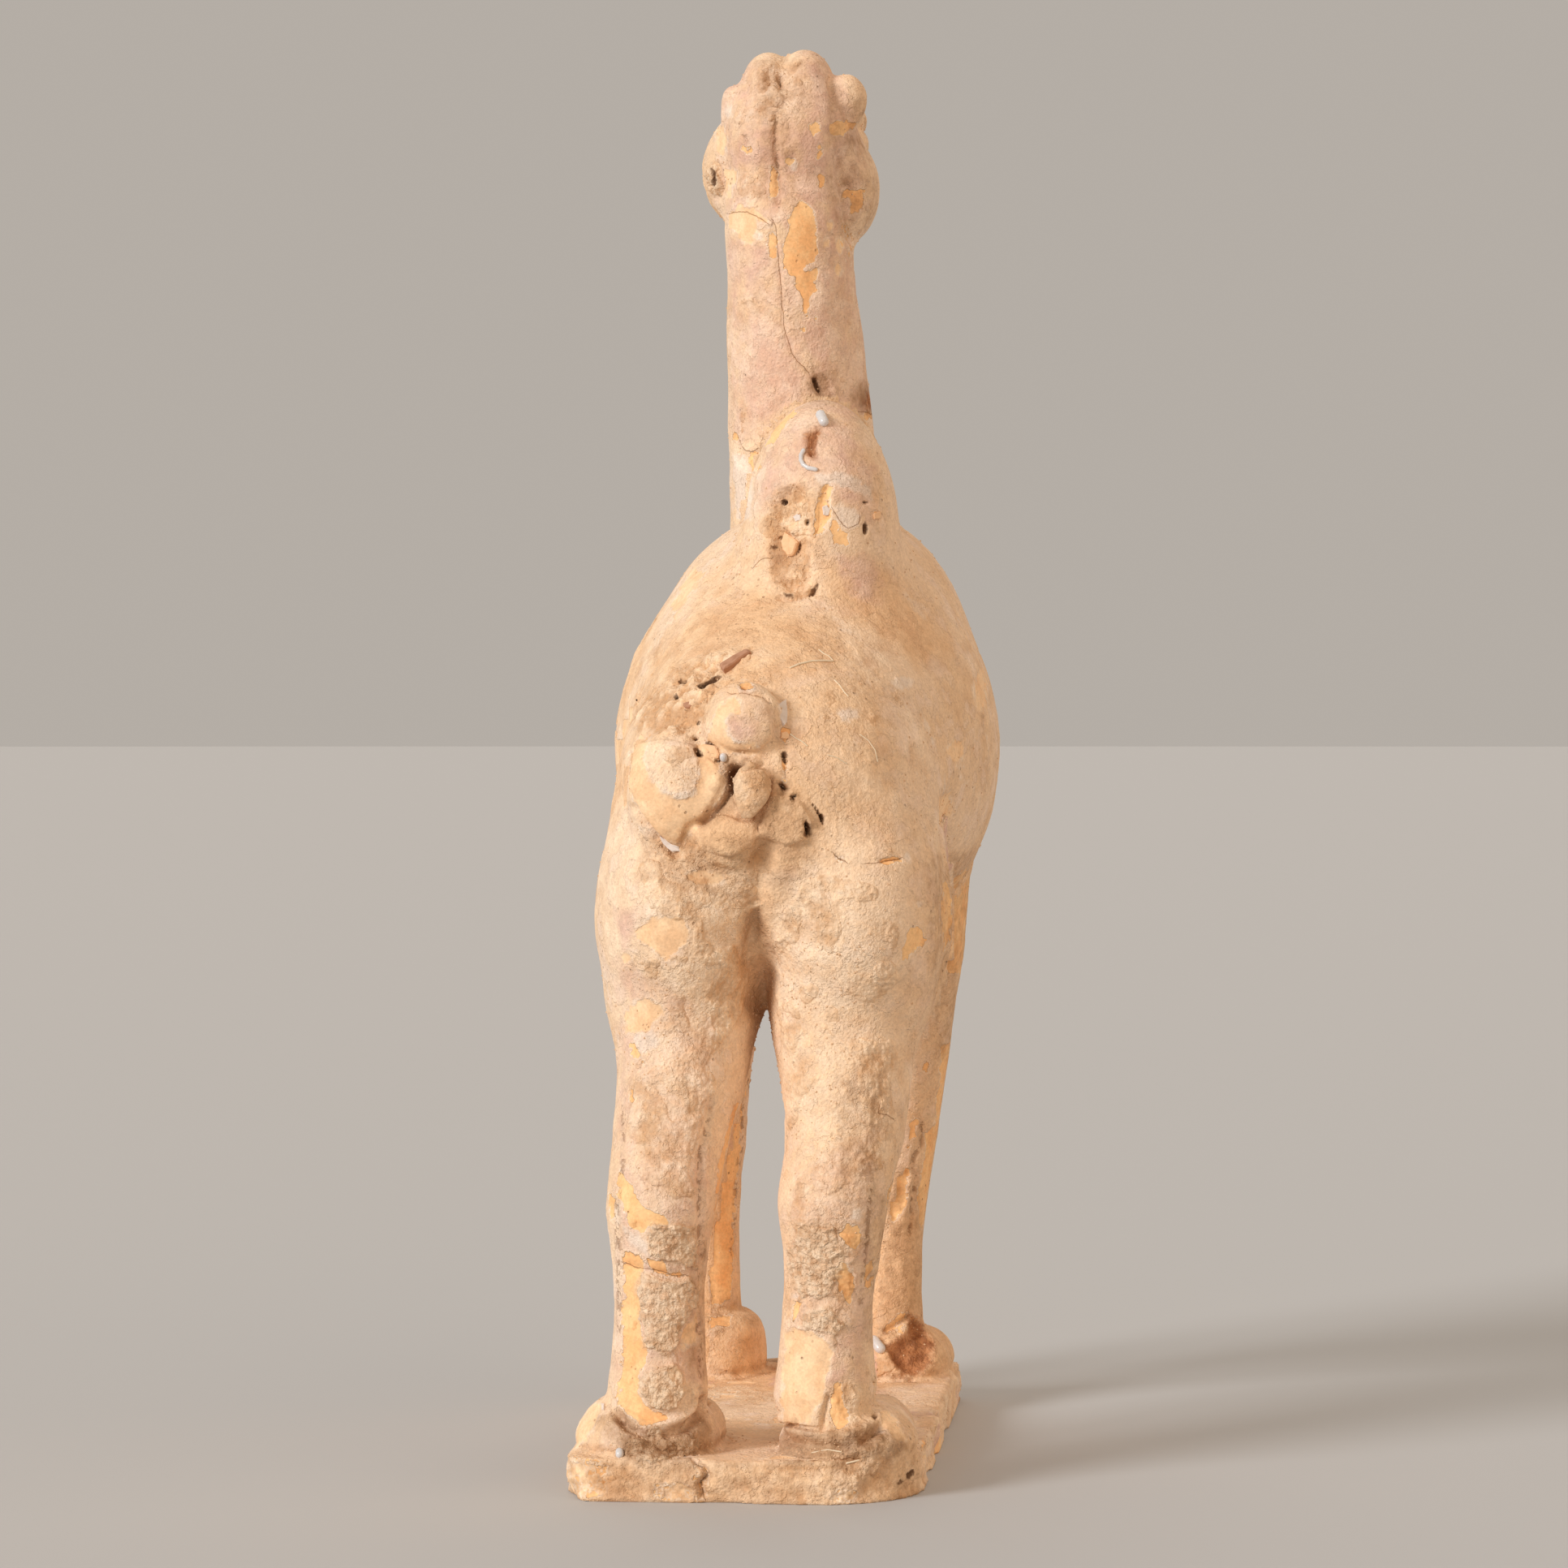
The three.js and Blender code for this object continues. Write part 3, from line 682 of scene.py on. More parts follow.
@dataclass(frozen=True)
class Viewpoint:
    """Where the photograph was taken from: the camera's place and lens, in pixels and millimetres."""

    focal_px: float = 5645.0
    azimuth: float = 185.5
    distance: float = 1356.4
    aside: float = 2.8
    height: float = 213.0
    horizon_row: float = 900.0
    sensor_mm: float = 36.0

    def axes(self) -> tuple[Array, Array, Array]:
        """Right, up and forward of the camera, as unit vectors."""
        turn = math.radians(self.azimuth)
        pitch = math.atan((PHOTO_SIZE / 2.0 - self.horizon_row) / self.focal_px)
        level = np.array([-math.sin(turn), math.cos(turn), 0.0])
        forward = level * math.cos(pitch) - np.array([0.0, 0.0, math.sin(pitch)])
        right = np.cross(level, [0.0, 0.0, 1.0])
        return right, np.cross(right, forward), forward

    def place(self) -> Array:
        """The camera's place."""
        right, _, _ = self.axes()
        turn = math.radians(self.azimuth)
        back = np.array([math.sin(turn), -math.cos(turn), 0.0])
        return back * self.distance + right * self.aside + np.array([0.0, 0.0, self.height])

    def pixels(self, p: Array) -> tuple[Array, Array, Array]:
        """Where points show in the photograph.

        Args:
            p: Points, three rows, in millimetres.

        Returns:
            Column, row and depth of each point.
        """
        right, up, forward = self.axes()
        off = p - self.place()[:, None]
        depth = forward @ off
        column = PHOTO_SIZE / 2.0 + self.focal_px * (right @ off) / depth
        row = PHOTO_SIZE / 2.0 - self.focal_px * (up @ off) / depth
        return column, row, depth

    def onto(self, form: ClayForm, columns: Sequence[float], rows: Sequence[float]) -> Array:
        """Carries pixels along the line of sight onto the clay.

        Args:
            form: The figure's form.
            columns: Columns of the pixels.
            rows: Rows of the pixels.

        Returns:
            Points on the clay, three rows.
        """
        right, up, forward = self.axes()
        across = (np.asarray(columns, float) - PHOTO_SIZE / 2.0) / self.focal_px
        down = (np.asarray(rows, float) - PHOTO_SIZE / 2.0) / self.focal_px
        ray = forward[:, None] + right[:, None] * across - up[:, None] * down
        ray = ray / np.sqrt((ray**2).sum(0))
        far = np.full(ray.shape[1], self.distance - 130.0)
        for _ in range(60):
            far = far + 0.8 * form.distance(self.place()[:, None] + ray * far)
        return self.place()[:, None] + ray * far

    def make_camera(self) -> bpy.types.Object:
        """Makes the camera and sets it as the scene's own."""
        right, up, forward = self.axes()
        data = bpy.data.cameras.new("photo_camera")
        data.sensor_width = self.sensor_mm
        data.sensor_fit = "HORIZONTAL"
        data.lens = self.sensor_mm * self.focal_px / PHOTO_SIZE
        data.clip_end = 100.0
        camera = bpy.data.objects.new("photo_camera", data)
        turn = Matrix([list(right), list(up), list(-forward)]).transposed()
        camera.matrix_world = Matrix.Translation(Vector(self.place() * MM)) @ turn.to_4x4()
        bpy.context.scene.collection.objects.link(camera)
        bpy.context.scene.camera = camera
        return camera


def corners_of(outline: Outline | Array) -> Array:
    """The corners of an outline or path, a column and a row each."""
    return np.array(outline, float).reshape(-1, 2)


def outline_distance(columns: Array, rows: Array, outline: Outline, closed: bool) -> Array:
    """Distance of pixels to an outline or a path, in pixels.

    Args:
        columns: Columns of the pixels.
        rows: Rows of the pixels.
        outline: The outline or path.
        closed: Whether the path closes into an outline.

    Returns:
        Distances, above zero inside a closed outline and below zero outside it or off a path.
    """
    corners = corners_of(outline)
    starts = corners if closed else corners[:-1]
    ends = np.roll(corners, -1, axis=0) if closed else corners[1:]
    nearest = np.full(len(columns), FAR)
    inside = np.zeros(len(columns), bool)
    for (x0, y0), (x1, y1) in zip(starts, ends):
        run_x, run_y = x1 - x0, y1 - y0
        along = ((columns - x0) * run_x + (rows - y0) * run_y) / (run_x**2 + run_y**2 + TINY)
        along = np.clip(along, 0.0, 1.0)
        nearest = np.minimum(nearest, np.hypot(columns - x0 - along * run_x, rows - y0 - along * run_y))
        if closed:
            crosses = (y0 > rows) != (y1 > rows)
            inside ^= crosses & (columns < x0 + run_x * (rows - y0) / (run_y + TINY))
    return np.where(inside, nearest, -nearest)


def path_side(columns: Array, rows: Array, path: Outline) -> Array:
    """Distance of pixels to the nearest stretch of a path, above zero on one side of it."""
    corners = corners_of(path)
    best = np.full(len(columns), FAR)
    side = np.full(len(columns), FAR)
    for (x0, y0), (x1, y1) in zip(corners[:-1], corners[1:]):
        run = math.hypot(x1 - x0, y1 - y0)
        along = np.clip(((columns - x0) * (x1 - x0) + (rows - y0) * (y1 - y0)) / run**2, 0.0, 1.0)
        gap = np.hypot(columns - x0 - along * (x1 - x0), rows - y0 - along * (y1 - y0))
        across = ((columns - x0) * (y1 - y0) - (rows - y0) * (x1 - x0)) / run
        closer = gap < best
        best = np.where(closer, gap, best)
        side = np.where(closer, np.sign(across) * np.maximum(gap, np.abs(across)), side)
    return side


def oval(column: float, row: float, half_width: float, half_height: float, sides: int = 14) -> Outline:
    """An oval outline in pixels, from its middle and its half sizes."""
    turns = [2.0 * math.pi * i / sides for i in range(sides)]
    corners = [(column + half_width * math.cos(t), row + half_height * math.sin(t)) for t in turns]
    return tuple(part for corner in corners for part in corner)


@dataclass(frozen=True)
class Stroke:
    """One stroke of a tool on the clay, placed by pixels: a raised or sunk area, or a ridge or groove."""

    outline: Outline
    height: float
    edge: float
    closed: bool = True

    def lift(self, distance_mm: Array) -> Array:
        """Height of the stroke in millimetres, from the distance to its outline or path."""
        if self.closed:
            return self.height * ramp(distance_mm, 0.0, self.edge)
        return self.height * ramp(distance_mm, -self.edge, 0.0)


@dataclass
class Sight:
    """Points as the photograph's viewpoint sees them."""

    columns: Array
    rows: Array
    mm_per_pixel: Array
    seen: Array
    last_square: ClassVar[int] = 300

    @classmethod
    def squares(cls, columns: Array, rows: Array, cell: float = 8.0) -> tuple[Array, ...]:
        """Numbers of the small squares of the picture that hold pixels, down and across."""
        return tuple(np.clip((part / cell).astype(int), 0, cls.last_square) for part in (rows, columns))

    @classmethod
    def nearest(cls, view: Viewpoint, p: Array) -> Array:
        """Depth of the nearest point in each small square of the picture.

        Args:
            view: The viewpoint.
            p: Points all over the figure, three rows.

        Returns:
            The depths, one for each square.
        """
        columns, rows, depth = view.pixels(p)
        depths = np.full((cls.last_square + 1, cls.last_square + 1), FAR)
        np.minimum.at(depths, cls.squares(columns, rows), depth)
        return depths

    @classmethod
    def of(cls, view: Viewpoint, p: Array, normals: Array, depths: Array, slack: float = 6.0) -> "Sight":
        """Works out which points are seen.

        Args:
            view: The viewpoint.
            p: Points, three rows.
            normals: Their outward directions, three rows.
            depths: The nearest depth in each small square of the picture.
            slack: How far behind the nearest point one may lie and still be seen, in millimetres.

        Returns:
            The points' places in the picture, and how well each is seen, from 0 to 1.
        """
        columns, rows, depth = view.pixels(p)
        _, _, forward = view.axes()
        facing = -(forward @ normals)
        seen = ramp(facing, -0.05, 0.12)
        seen = seen * (depth < depths[cls.squares(columns, rows)] + slack + 10.0 * (1.0 - facing))
        return cls(columns, rows, depth / view.focal_px, seen)

    def distance(self, outline: Outline, closed: bool = True, reach: float = 60.0) -> Array:
        """Distance in millimetres to an outline or path, for the seen points near it.

        Args:
            outline: The outline or path.
            closed: Whether it is an outline.
            reach: How far round the outline it is worked out, in pixels.

        Returns:
            Distances, above zero inside, and far below zero where not seen or not near.
        """
        corners = corners_of(outline)
        low, high = corners.min(0) - reach, corners.max(0) + reach
        near = self.seen > 0.0
        for part, least, most in zip((self.columns, self.rows), low, high):
            near &= (part > least) & (part < most)
        result = np.full(len(self.columns), -APART_MM)
        found = outline_distance(self.columns[near], self.rows[near], outline, closed)
        result[near] = found * self.mm_per_pixel[near] - 8.0 * (1.0 - self.seen[near])
        return result

    def side(self, path: Outline) -> Array:
        """Signed distance in millimetres to a path."""
        return path_side(self.columns, self.rows, path) * self.mm_per_pixel


class Coat(Enum):
    """What lies on the clay at a place. The value names the mesh's measure of it, in millimetres."""

    BARE = "bare_mm"
    VEILED = "veiled_mm"
    # Painted shade with some dirt, in the corners and the sheltered places.
    GRIME = "grime_mm"
    MAUVE = "mauve_mm"
    SOIL = "soil_mm"
    CRUST = "crust_mm"
    FILM = "film_mm"
    BREAK = "break_mm"
    TAN = "tan_mm"
    HOLE = "hole_mm"
    FINE = "fine_mm"
    PITS = "pits_mm"
    CRACK = "crack_mm"
    CRACK_SIDE = "crack_side_mm"


# Bare clay, where the slip and colour have flaked off.
BARE = {
    "neck_patch": (973, 266, 983, 248, 995, 253, 1004, 267, 1007, 280, 1006, 300, 1008, 314, 1001, 324,
        992, 329, 990, 335, 1000, 333, 1007, 329, 1008, 337, 1004, 347, 1006, 357, 999, 364, 995, 378,
        994, 388, 990, 369, 983, 357, 978, 343, 973, 336, 966, 331, 965, 312, 966, 297, 974, 281),
    "neck_strip": (945, 290, 953, 286, 956, 297, 957, 319, 950, 317, 945, 305),
    "neck_speck": oval(1005, 392, 3, 3),
    "neck_speck_low": oval(988, 405, 3, 3),
    "neck_foot_edge": oval(1069, 513, 5, 5),
    "ear_patch": (1023, 154, 1034, 149, 1056, 149, 1056, 156, 1046, 161, 1036, 168, 1027, 163),
    "crown_patch": (998, 153, 1006, 149, 1012, 159, 1004, 166, 997, 158),
    "crown_strip": oval(1010, 188, 4, 9),
    "crown_drop": oval(1012, 223, 5, 9),
    "cheek_hook": (1042, 233, 1064, 234, 1065, 246, 1059, 262, 1052, 264, 1051, 247, 1042, 242),
    "crown_left_dot": oval(920, 184, 7, 5),
    "crown_mid_dot": oval(973, 199, 5, 5),
    "groove_lip": (950, 204, 955, 206, 958, 224, 958, 242, 950, 244),
    "neck_lap": (920, 559, 933, 555, 934, 573, 926, 580, 921, 569),
    "neck_lap_top": oval(906, 539, 3, 5),
    "hump_strip": (978, 505, 968, 508, 949, 526, 942, 548, 953, 547, 967, 523, 982, 509),
    "hump_wedge": (1019, 596, 1011, 601, 1006, 623, 1003, 660, 1015, 652, 1019, 641, 1026, 637, 1022, 619,
        1024, 601),
    "hump_fan": (1026, 637, 1038, 650, 1044, 659, 1045, 669, 1038, 675, 1029, 668, 1024, 651),
    "hump_side_dot": oval(1080, 636, 4, 5),
    "tail_hole_lip": oval(918, 845, 9, 4),
    "tail_seam_chip": oval(968, 906, 6, 8),
    "tail_seam_slot": oval(966, 950, 2.5, 16),
    "rump_dot": oval(1036, 1057, 6, 3),
    "rump_slot": (1086, 1058, 1109, 1055, 1110, 1061, 1088, 1063),
    "thigh_left_drop": (777, 1288, 783, 1288, 788, 1304, 793, 1311, 783, 1303),
    "thigh_right": (1122, 1143, 1133, 1144, 1141, 1158, 1138, 1168, 1130, 1164, 1123, 1180, 1114, 1182,
        1113, 1168, 1119, 1155),
    "fore_right_upper": (1168, 1088, 1205, 1060, 1210, 1120, 1196, 1196, 1184, 1200, 1170, 1200, 1166,
        1130),
    "fore_right_edge": (1160, 1290, 1178, 1280, 1174, 1330, 1166, 1370, 1158, 1400, 1150, 1440, 1146,
        1500, 1134, 1514, 1131, 1505, 1133, 1462, 1140, 1419, 1140, 1397, 1152, 1385, 1153, 1364, 1159,
        1333),
    "fore_right_spot": oval(1142, 1314, 5, 8),
    "fore_right_sliver": (1126, 1376, 1131, 1380, 1128, 1397, 1119, 1417, 1117, 1407, 1119, 1393),
    "fore_right_patch": (1117, 1440, 1122, 1446, 1117, 1454, 1117, 1479, 1110, 1497, 1100, 1505, 1093,
        1490, 1094, 1469, 1103, 1453),
    "fore_right_foot": (1088, 1641, 1092, 1630, 1108, 1620, 1120, 1622, 1104, 1634, 1096, 1643),
    "fore_left_leg": (905, 1359, 915, 1357, 914, 1393, 907, 1462, 904, 1514, 901, 1600, 876, 1610, 874,
        1560, 881, 1497, 885, 1436, 895, 1393),
    "fore_left_ledge": (872, 1627, 884, 1622, 900, 1620, 899, 1632, 886, 1634, 872, 1637),
    "hind_left_speck": oval(780, 1352, 3, 8),
    "hind_left_high": oval(781, 1297, 4, 7),
    "hind_left_knee": (763, 1443, 769, 1447, 775, 1459, 781, 1464, 782, 1476, 792, 1486, 811, 1495, 822,
        1500, 821, 1509, 809, 1508, 800, 1510, 794, 1517, 780, 1516, 771, 1510, 769, 1493, 763, 1476),
    "hind_left_rim": (750, 1470, 756, 1474, 758, 1500, 753, 1504),
    "hind_left_strip": (767, 1541, 790, 1546, 794, 1563, 790, 1576, 786, 1590, 790, 1599, 789, 1620, 792,
        1640, 798, 1661, 797, 1676, 789, 1692, 787, 1719, 798, 1733, 804, 1739, 822, 1744, 822, 1750, 797,
        1759, 778, 1747, 765, 1731, 764, 1692, 769, 1665, 767, 1629, 769, 1594),
    "hind_left_band": (797, 1551, 819, 1556, 822, 1567, 842, 1570, 846, 1573, 831, 1574, 803, 1566),
    "hind_right_knee": (1045, 1508, 1057, 1512, 1060, 1528, 1055, 1541, 1041, 1531, 1035, 1521),
    "hind_right_patch": (1025, 1560, 1036, 1557, 1049, 1565, 1053, 1577, 1051, 1594, 1045, 1606, 1040,
        1601, 1034, 1584, 1029, 1573),
    "hind_right_chip": (981, 1605, 990, 1604, 984, 1618, 977, 1628, 976, 1620),
    "hind_right_heel": (1029, 1706, 1036, 1705, 1039, 1725, 1044, 1753, 1036, 1763, 1025, 1758, 1023,
        1742),
    "hind_right_edge": (1066, 1560, 1076, 1551, 1074, 1588, 1067, 1588),
    "slab_edge": oval(1137, 1777, 5, 10),
}

# Where bare clay shows only in flecks.
THIN_BARE = {
    "slab_corner": (698, 1786, 722, 1790, 748, 1806, 742, 1843, 714, 1844, 699, 1828),
    "slab_middle": (804, 1832, 832, 1828, 850, 1838, 846, 1851, 812, 1850),
    "slab_right": (1028, 1838, 1052, 1838, 1054, 1851, 1030, 1851),
    "slab_crack": (854, 1806, 868, 1806, 872, 1850, 858, 1850),
    "fore_right_foot": (1106, 1614, 1122, 1618, 1130, 1626, 1110, 1644, 1098, 1640),
    "barrel_left": (742, 860, 752, 858, 748, 990, 738, 990),
    "neck_right": oval(1046, 300, 8, 26),
}

# Bare clay that shows through a thin veil of dust.
VEILED = {
    "nape_left": (897, 266, 914, 251, 930, 259, 945, 273, 932, 269, 933, 283, 926, 299, 916, 302, 911,
        287, 897, 280),
    "nape_dot": oval(1023, 278, 4, 5),
    "nape_dot_low": oval(1019, 296, 4, 7),
    "neck_right_streak": oval(1034, 304, 3, 10),
    "neck_right_low": oval(1033, 332, 3, 9),
    "temple_left": (882, 158, 890, 152, 894, 176, 892, 199, 885, 192, 880, 171),
    "nape_high": (892, 209, 908, 211, 908, 222, 901, 229, 900, 241, 895, 243, 891, 224),
    "tail_top": (905, 858, 888, 872, 874, 898, 868, 914, 882, 924, 900, 930, 925, 932, 936, 924, 930, 914,
        919, 914, 906, 915, 898, 904, 894, 888, 901, 879, 914, 880, 912, 866),
    "tail_lobe": (788, 908, 802, 912, 797, 936, 801, 962, 814, 976, 836, 984, 857, 978, 863, 956, 861,
        930, 866, 922, 886, 938, 894, 965, 884, 990, 868, 1010, 852, 1024, 843, 1040, 820, 1036, 803,
        1022, 788, 1001, 773, 969, 777, 927),
    "tail_flake": (860, 919, 868, 916, 885, 930, 884, 937, 872, 934),
    "under_tail": (844, 1076, 860, 1073, 890, 1078, 889, 1088, 868, 1087, 848, 1086),
    "thigh_left": (786, 1135, 812, 1132, 841, 1132, 848, 1146, 844, 1164, 833, 1174, 819, 1186, 809, 1174,
        784, 1156),
    "thigh_left_dot": oval(772, 1180, 5, 4),
    "thigh_left_low": (769, 1249, 788, 1231, 816, 1239, 819, 1249, 800, 1261, 797, 1271, 772, 1272),
    "hind_left_inner": (838, 1644, 848, 1634, 860, 1620, 862, 1634, 858, 1654, 843, 1663),
    "hind_left_low": oval(829, 1692, 8, 6),
    "hind_right_shin": (977, 1636, 1001, 1640, 1021, 1654, 1029, 1660, 1025, 1675, 1016, 1706, 1014, 1725,
        1004, 1741, 996, 1752, 977, 1760, 964, 1759, 962, 1743, 964, 1706, 967, 1669, 969, 1645),
    "hind_left_foot": (712, 1742, 735, 1727, 742, 1738, 722, 1775, 708, 1782, 703, 1768),
    "hind_right_foot": (1084, 1738, 1100, 1744, 1112, 1762, 1120, 1780, 1104, 1775, 1090, 1758),
    "slab_corner": (698, 1800, 735, 1806, 752, 1818, 740, 1843, 712, 1842, 699, 1828),
    "slab_middle": (815, 1833, 838, 1829, 857, 1836, 850, 1850, 822, 1849),
    "slab_right": (1024, 1841, 1040, 1838, 1057, 1842, 1050, 1850, 1028, 1850),
    "barrel_right_high": oval(1208, 850, 8, 26),
    "barrel_right_mid": oval(1178, 925, 9, 12),
    "barrel_right_low": (1160, 985, 1172, 975, 1176, 1000, 1166, 1020, 1160, 1010),
    "shoulder_left": (842, 720, 856, 700, 868, 706, 846, 740, 832, 760, 828, 748),
}

# Dull mauve pigment, still on its slip.
MAUVE = {
    "topknot": (991, 67, 1009, 68, 1019, 88, 1026, 100, 1029, 125, 1029, 142, 1009, 148, 996, 136, 996,
        105, 990, 84),
    "crown": (976, 204, 1019, 204, 1022, 249, 998, 252, 976, 244),
    "crown_right": (985, 150, 1022, 170, 1024, 250, 1000, 256, 984, 240),
    "groove_side": (961, 214, 975, 212, 976, 244, 961, 246),
    "nape_mid": (905, 172, 950, 176, 950, 204, 934, 210, 908, 200),
    "nape_low": (897, 238, 946, 242, 948, 252, 900, 250),
    "neck_left": (918, 383, 963, 400, 976, 447, 997, 460, 997, 490, 983, 495, 960, 515, 918, 535, 914,
        480, 913, 430),
    "neck_right": (997, 386, 1011, 340, 1018, 283, 1030, 300, 1030, 378, 1025, 455, 1001, 452, 990, 429,
        976, 392),
    "hump_left": (976, 514, 965, 534, 958, 555, 960, 587, 970, 589, 983, 569, 979, 551, 983, 523, 990,
        514),
    "hump_skirt": (944, 552, 952, 548, 958, 590, 950, 606, 936, 630, 936, 600),
    "hump_right": (1012, 560, 1045, 552, 1058, 575, 1030, 582, 1008, 578),
    "back_right": (1034, 690, 1062, 688, 1080, 712, 1072, 740, 1046, 728),
    "hind_right_strip": (1020, 1701, 1044, 1666, 1051, 1662, 1053, 1681, 1040, 1698, 1027, 1704),
    "hind_left_top": (764, 1120, 782, 1120, 784, 1150, 770, 1166),
    "tail_top_patch": (895, 886, 902, 879, 914, 884, 927, 893, 928, 906, 919, 911, 917, 920, 906, 914,
        898, 902),
}

# Where the mauve is worn to faint clouds.
MOTTLED_MAUVE = {
    "neck": (897, 300, 1050, 300, 1076, 400, 1084, 500, 1040, 520, 905, 540),
    "head": (880, 110, 925, 80, 1030, 90, 1060, 170, 1060, 250, 1040, 290, 900, 262),
    "hump": (944, 540, 985, 505, 1040, 520, 1075, 580, 1070, 640, 1020, 600, 950, 600),
    "shins": (765, 1180, 870, 1260, 862, 1700, 768, 1700),
    "knee_right": (985, 1440, 1075, 1400, 1060, 1700, 980, 1640),
}

# Rough dry earth that is worn to scattered crumbs.
THIN_SOIL = {
    "rump": (930, 800, 1060, 790, 1130, 860, 1140, 1000, 1120, 1060, 1000, 1060, 960, 960),
    "leg_left": (770, 1240, 880, 1260, 868, 1500, 866, 1730, 775, 1730, 768, 1500),
    "leg_right": (945, 1240, 1120, 1240, 1090, 1480, 1060, 1740, 965, 1740, 970, 1480),
    "neck": (900, 380, 1040, 320, 1072, 480, 1000, 520, 905, 560),
    "barrel_left": (740, 830, 800, 760, 850, 800, 790, 960, 742, 980),
    "slab": (696, 1802, 1130, 1806, 1110, 1856, 700, 1850),
}

# Warm tan loess, thick in the sheltered places, where its deeper tone also stands in for shade: painted
# shade.
TAN = {
    "tail_root": (842, 1010, 880, 990, 950, 935, 1010, 980, 1020, 1040, 990, 1075, 900, 1100, 800, 1080,
        790, 1030),
    "tail_top": (780, 860, 830, 815, 930, 790, 1000, 800, 990, 830, 930, 850, 885, 870, 860, 905, 790,
        905),
    "between": (890, 1080, 960, 1080, 955, 1240, 925, 1262, 905, 1240),
    "slab": (690, 1800, 1140, 1798, 1140, 1860, 690, 1860),
    "fore_right_leg": (1074, 1500, 1150, 1480, 1190, 1640, 1190, 1700, 1074, 1700),
    "hump_break": (944, 600, 1004, 600, 1008, 735, 950, 735, 938, 650),
    "crown": (930, 75, 990, 75, 990, 250, 900, 250, 900, 140),
    "back": (1000, 690, 1090, 700, 1180, 800, 1130, 820, 1040, 760),
}

# Places where the tan is thinner: loess, and painted shade on the legs and the foot that lie in shadow.
THIN_TAN = {
    "fore_left_foot": (868, 1610, 925, 1600, 946, 1640, 948, 1700, 868, 1700),
    "leg_right": (960, 1250, 1110, 1260, 1085, 1480, 1050, 1640, 975, 1640, 965, 1400),
    "fore_right_high": (1090, 1200, 1180, 1200, 1150, 1500, 1090, 1500),
    "neck": (905, 300, 960, 300, 980, 440, 1060, 480, 1040, 520, 905, 540),
    "barrel": (870, 760, 1000, 740, 1090, 900, 1100, 1060, 960, 1060, 880, 900),
    "hump": (950, 545, 990, 508, 1040, 518, 1078, 580, 1078, 650, 1030, 604, 950, 606),
    "topknot": (985, 70, 1066, 100, 1066, 170, 1020, 176, 985, 150),
    "fore_right": (1130, 1060, 1215, 1050, 1200, 1260, 1150, 1480, 1120, 1480, 1140, 1200),
    "slab_right": (1122, 1700, 1180, 1690, 1190, 1760, 1130, 1840, 1108, 1830),
}

# Small holes and slots, painted dark inside: painted shade.
HOLES = {
    "slot_high": (869, 915, 874, 915, 881, 923, 879, 928, 872, 922),
    "slot_left": (853, 924, 860, 922, 867, 932, 863, 936, 856, 931),
    "slot_right": oval(884, 938, 3.5, 3.5),
    "slot_over": oval(857, 909, 3, 3),
    "crevice": (911, 941, 902, 943, 896, 950, 895, 962, 898, 975, 902, 974, 901, 960, 905, 951, 912, 948),
    "gap": (926, 937, 935, 940, 940, 946, 930, 944),
    "flap_slot": (990, 1012, 996, 1013, 998, 1022, 996, 1031, 990, 1029),
    "flap_dot": oval(1013, 1009, 2.5, 6),
    "flap_line": (996, 983, 1000, 987, 1010, 1001, 1008, 1003, 1001, 994),
    "seam_slot": (964, 927, 968, 927, 969, 941, 965, 941),
    "seam_low": (958, 965, 964, 962, 970, 972, 963, 976),
    "ring_hole": oval(976, 983, 3, 3),
    "rim_hole": oval(917, 846, 6, 2.5),
    "rubble_high": oval(841, 839, 6, 3),
    "rubble_mid": oval(833, 859, 3, 4),
    "rubble_low": oval(860, 890, 3, 3),
    "rubble_left": oval(783, 881, 3, 4),
    "sherd_slot": (861, 845, 869, 838, 885, 829, 888, 833, 874, 842, 865, 849),
    "hump_pit": oval(1067, 619, 4, 2),
    "hump_slit": oval(1066, 651, 2.5, 7),
    "neck_pit": (1001, 466, 1006, 465, 1008, 472, 1013, 482, 1010, 485, 1004, 475),
    "break_pit": oval(961, 617, 3.5, 3),
    "break_pit_right": oval(993, 644, 2.5, 4),
    "break_pit_left": oval(954, 662, 3, 3),
    "break_pit_low": oval(949, 674, 3, 2.5),
    "sherd_shadow": (980, 664, 984, 668, 983, 676, 977, 682, 978, 674),
    "break_foot": (964, 729, 976, 731, 977, 734, 966, 732),
    "break_foot_right": (996, 732, 1003, 722, 1010, 717, 1007, 726, 1000, 732),
    "cheek_left": (877, 208, 881, 211, 883, 222, 881, 236, 878, 230, 879, 219),
    "foot_pit": oval(1078, 1744, 3, 4),
    "slab_pit": (1105, 1827, 1112, 1822, 1114, 1826, 1108, 1831),
    "slab_pit_high": (1119, 1816, 1126, 1811, 1128, 1816, 1121, 1821),
}

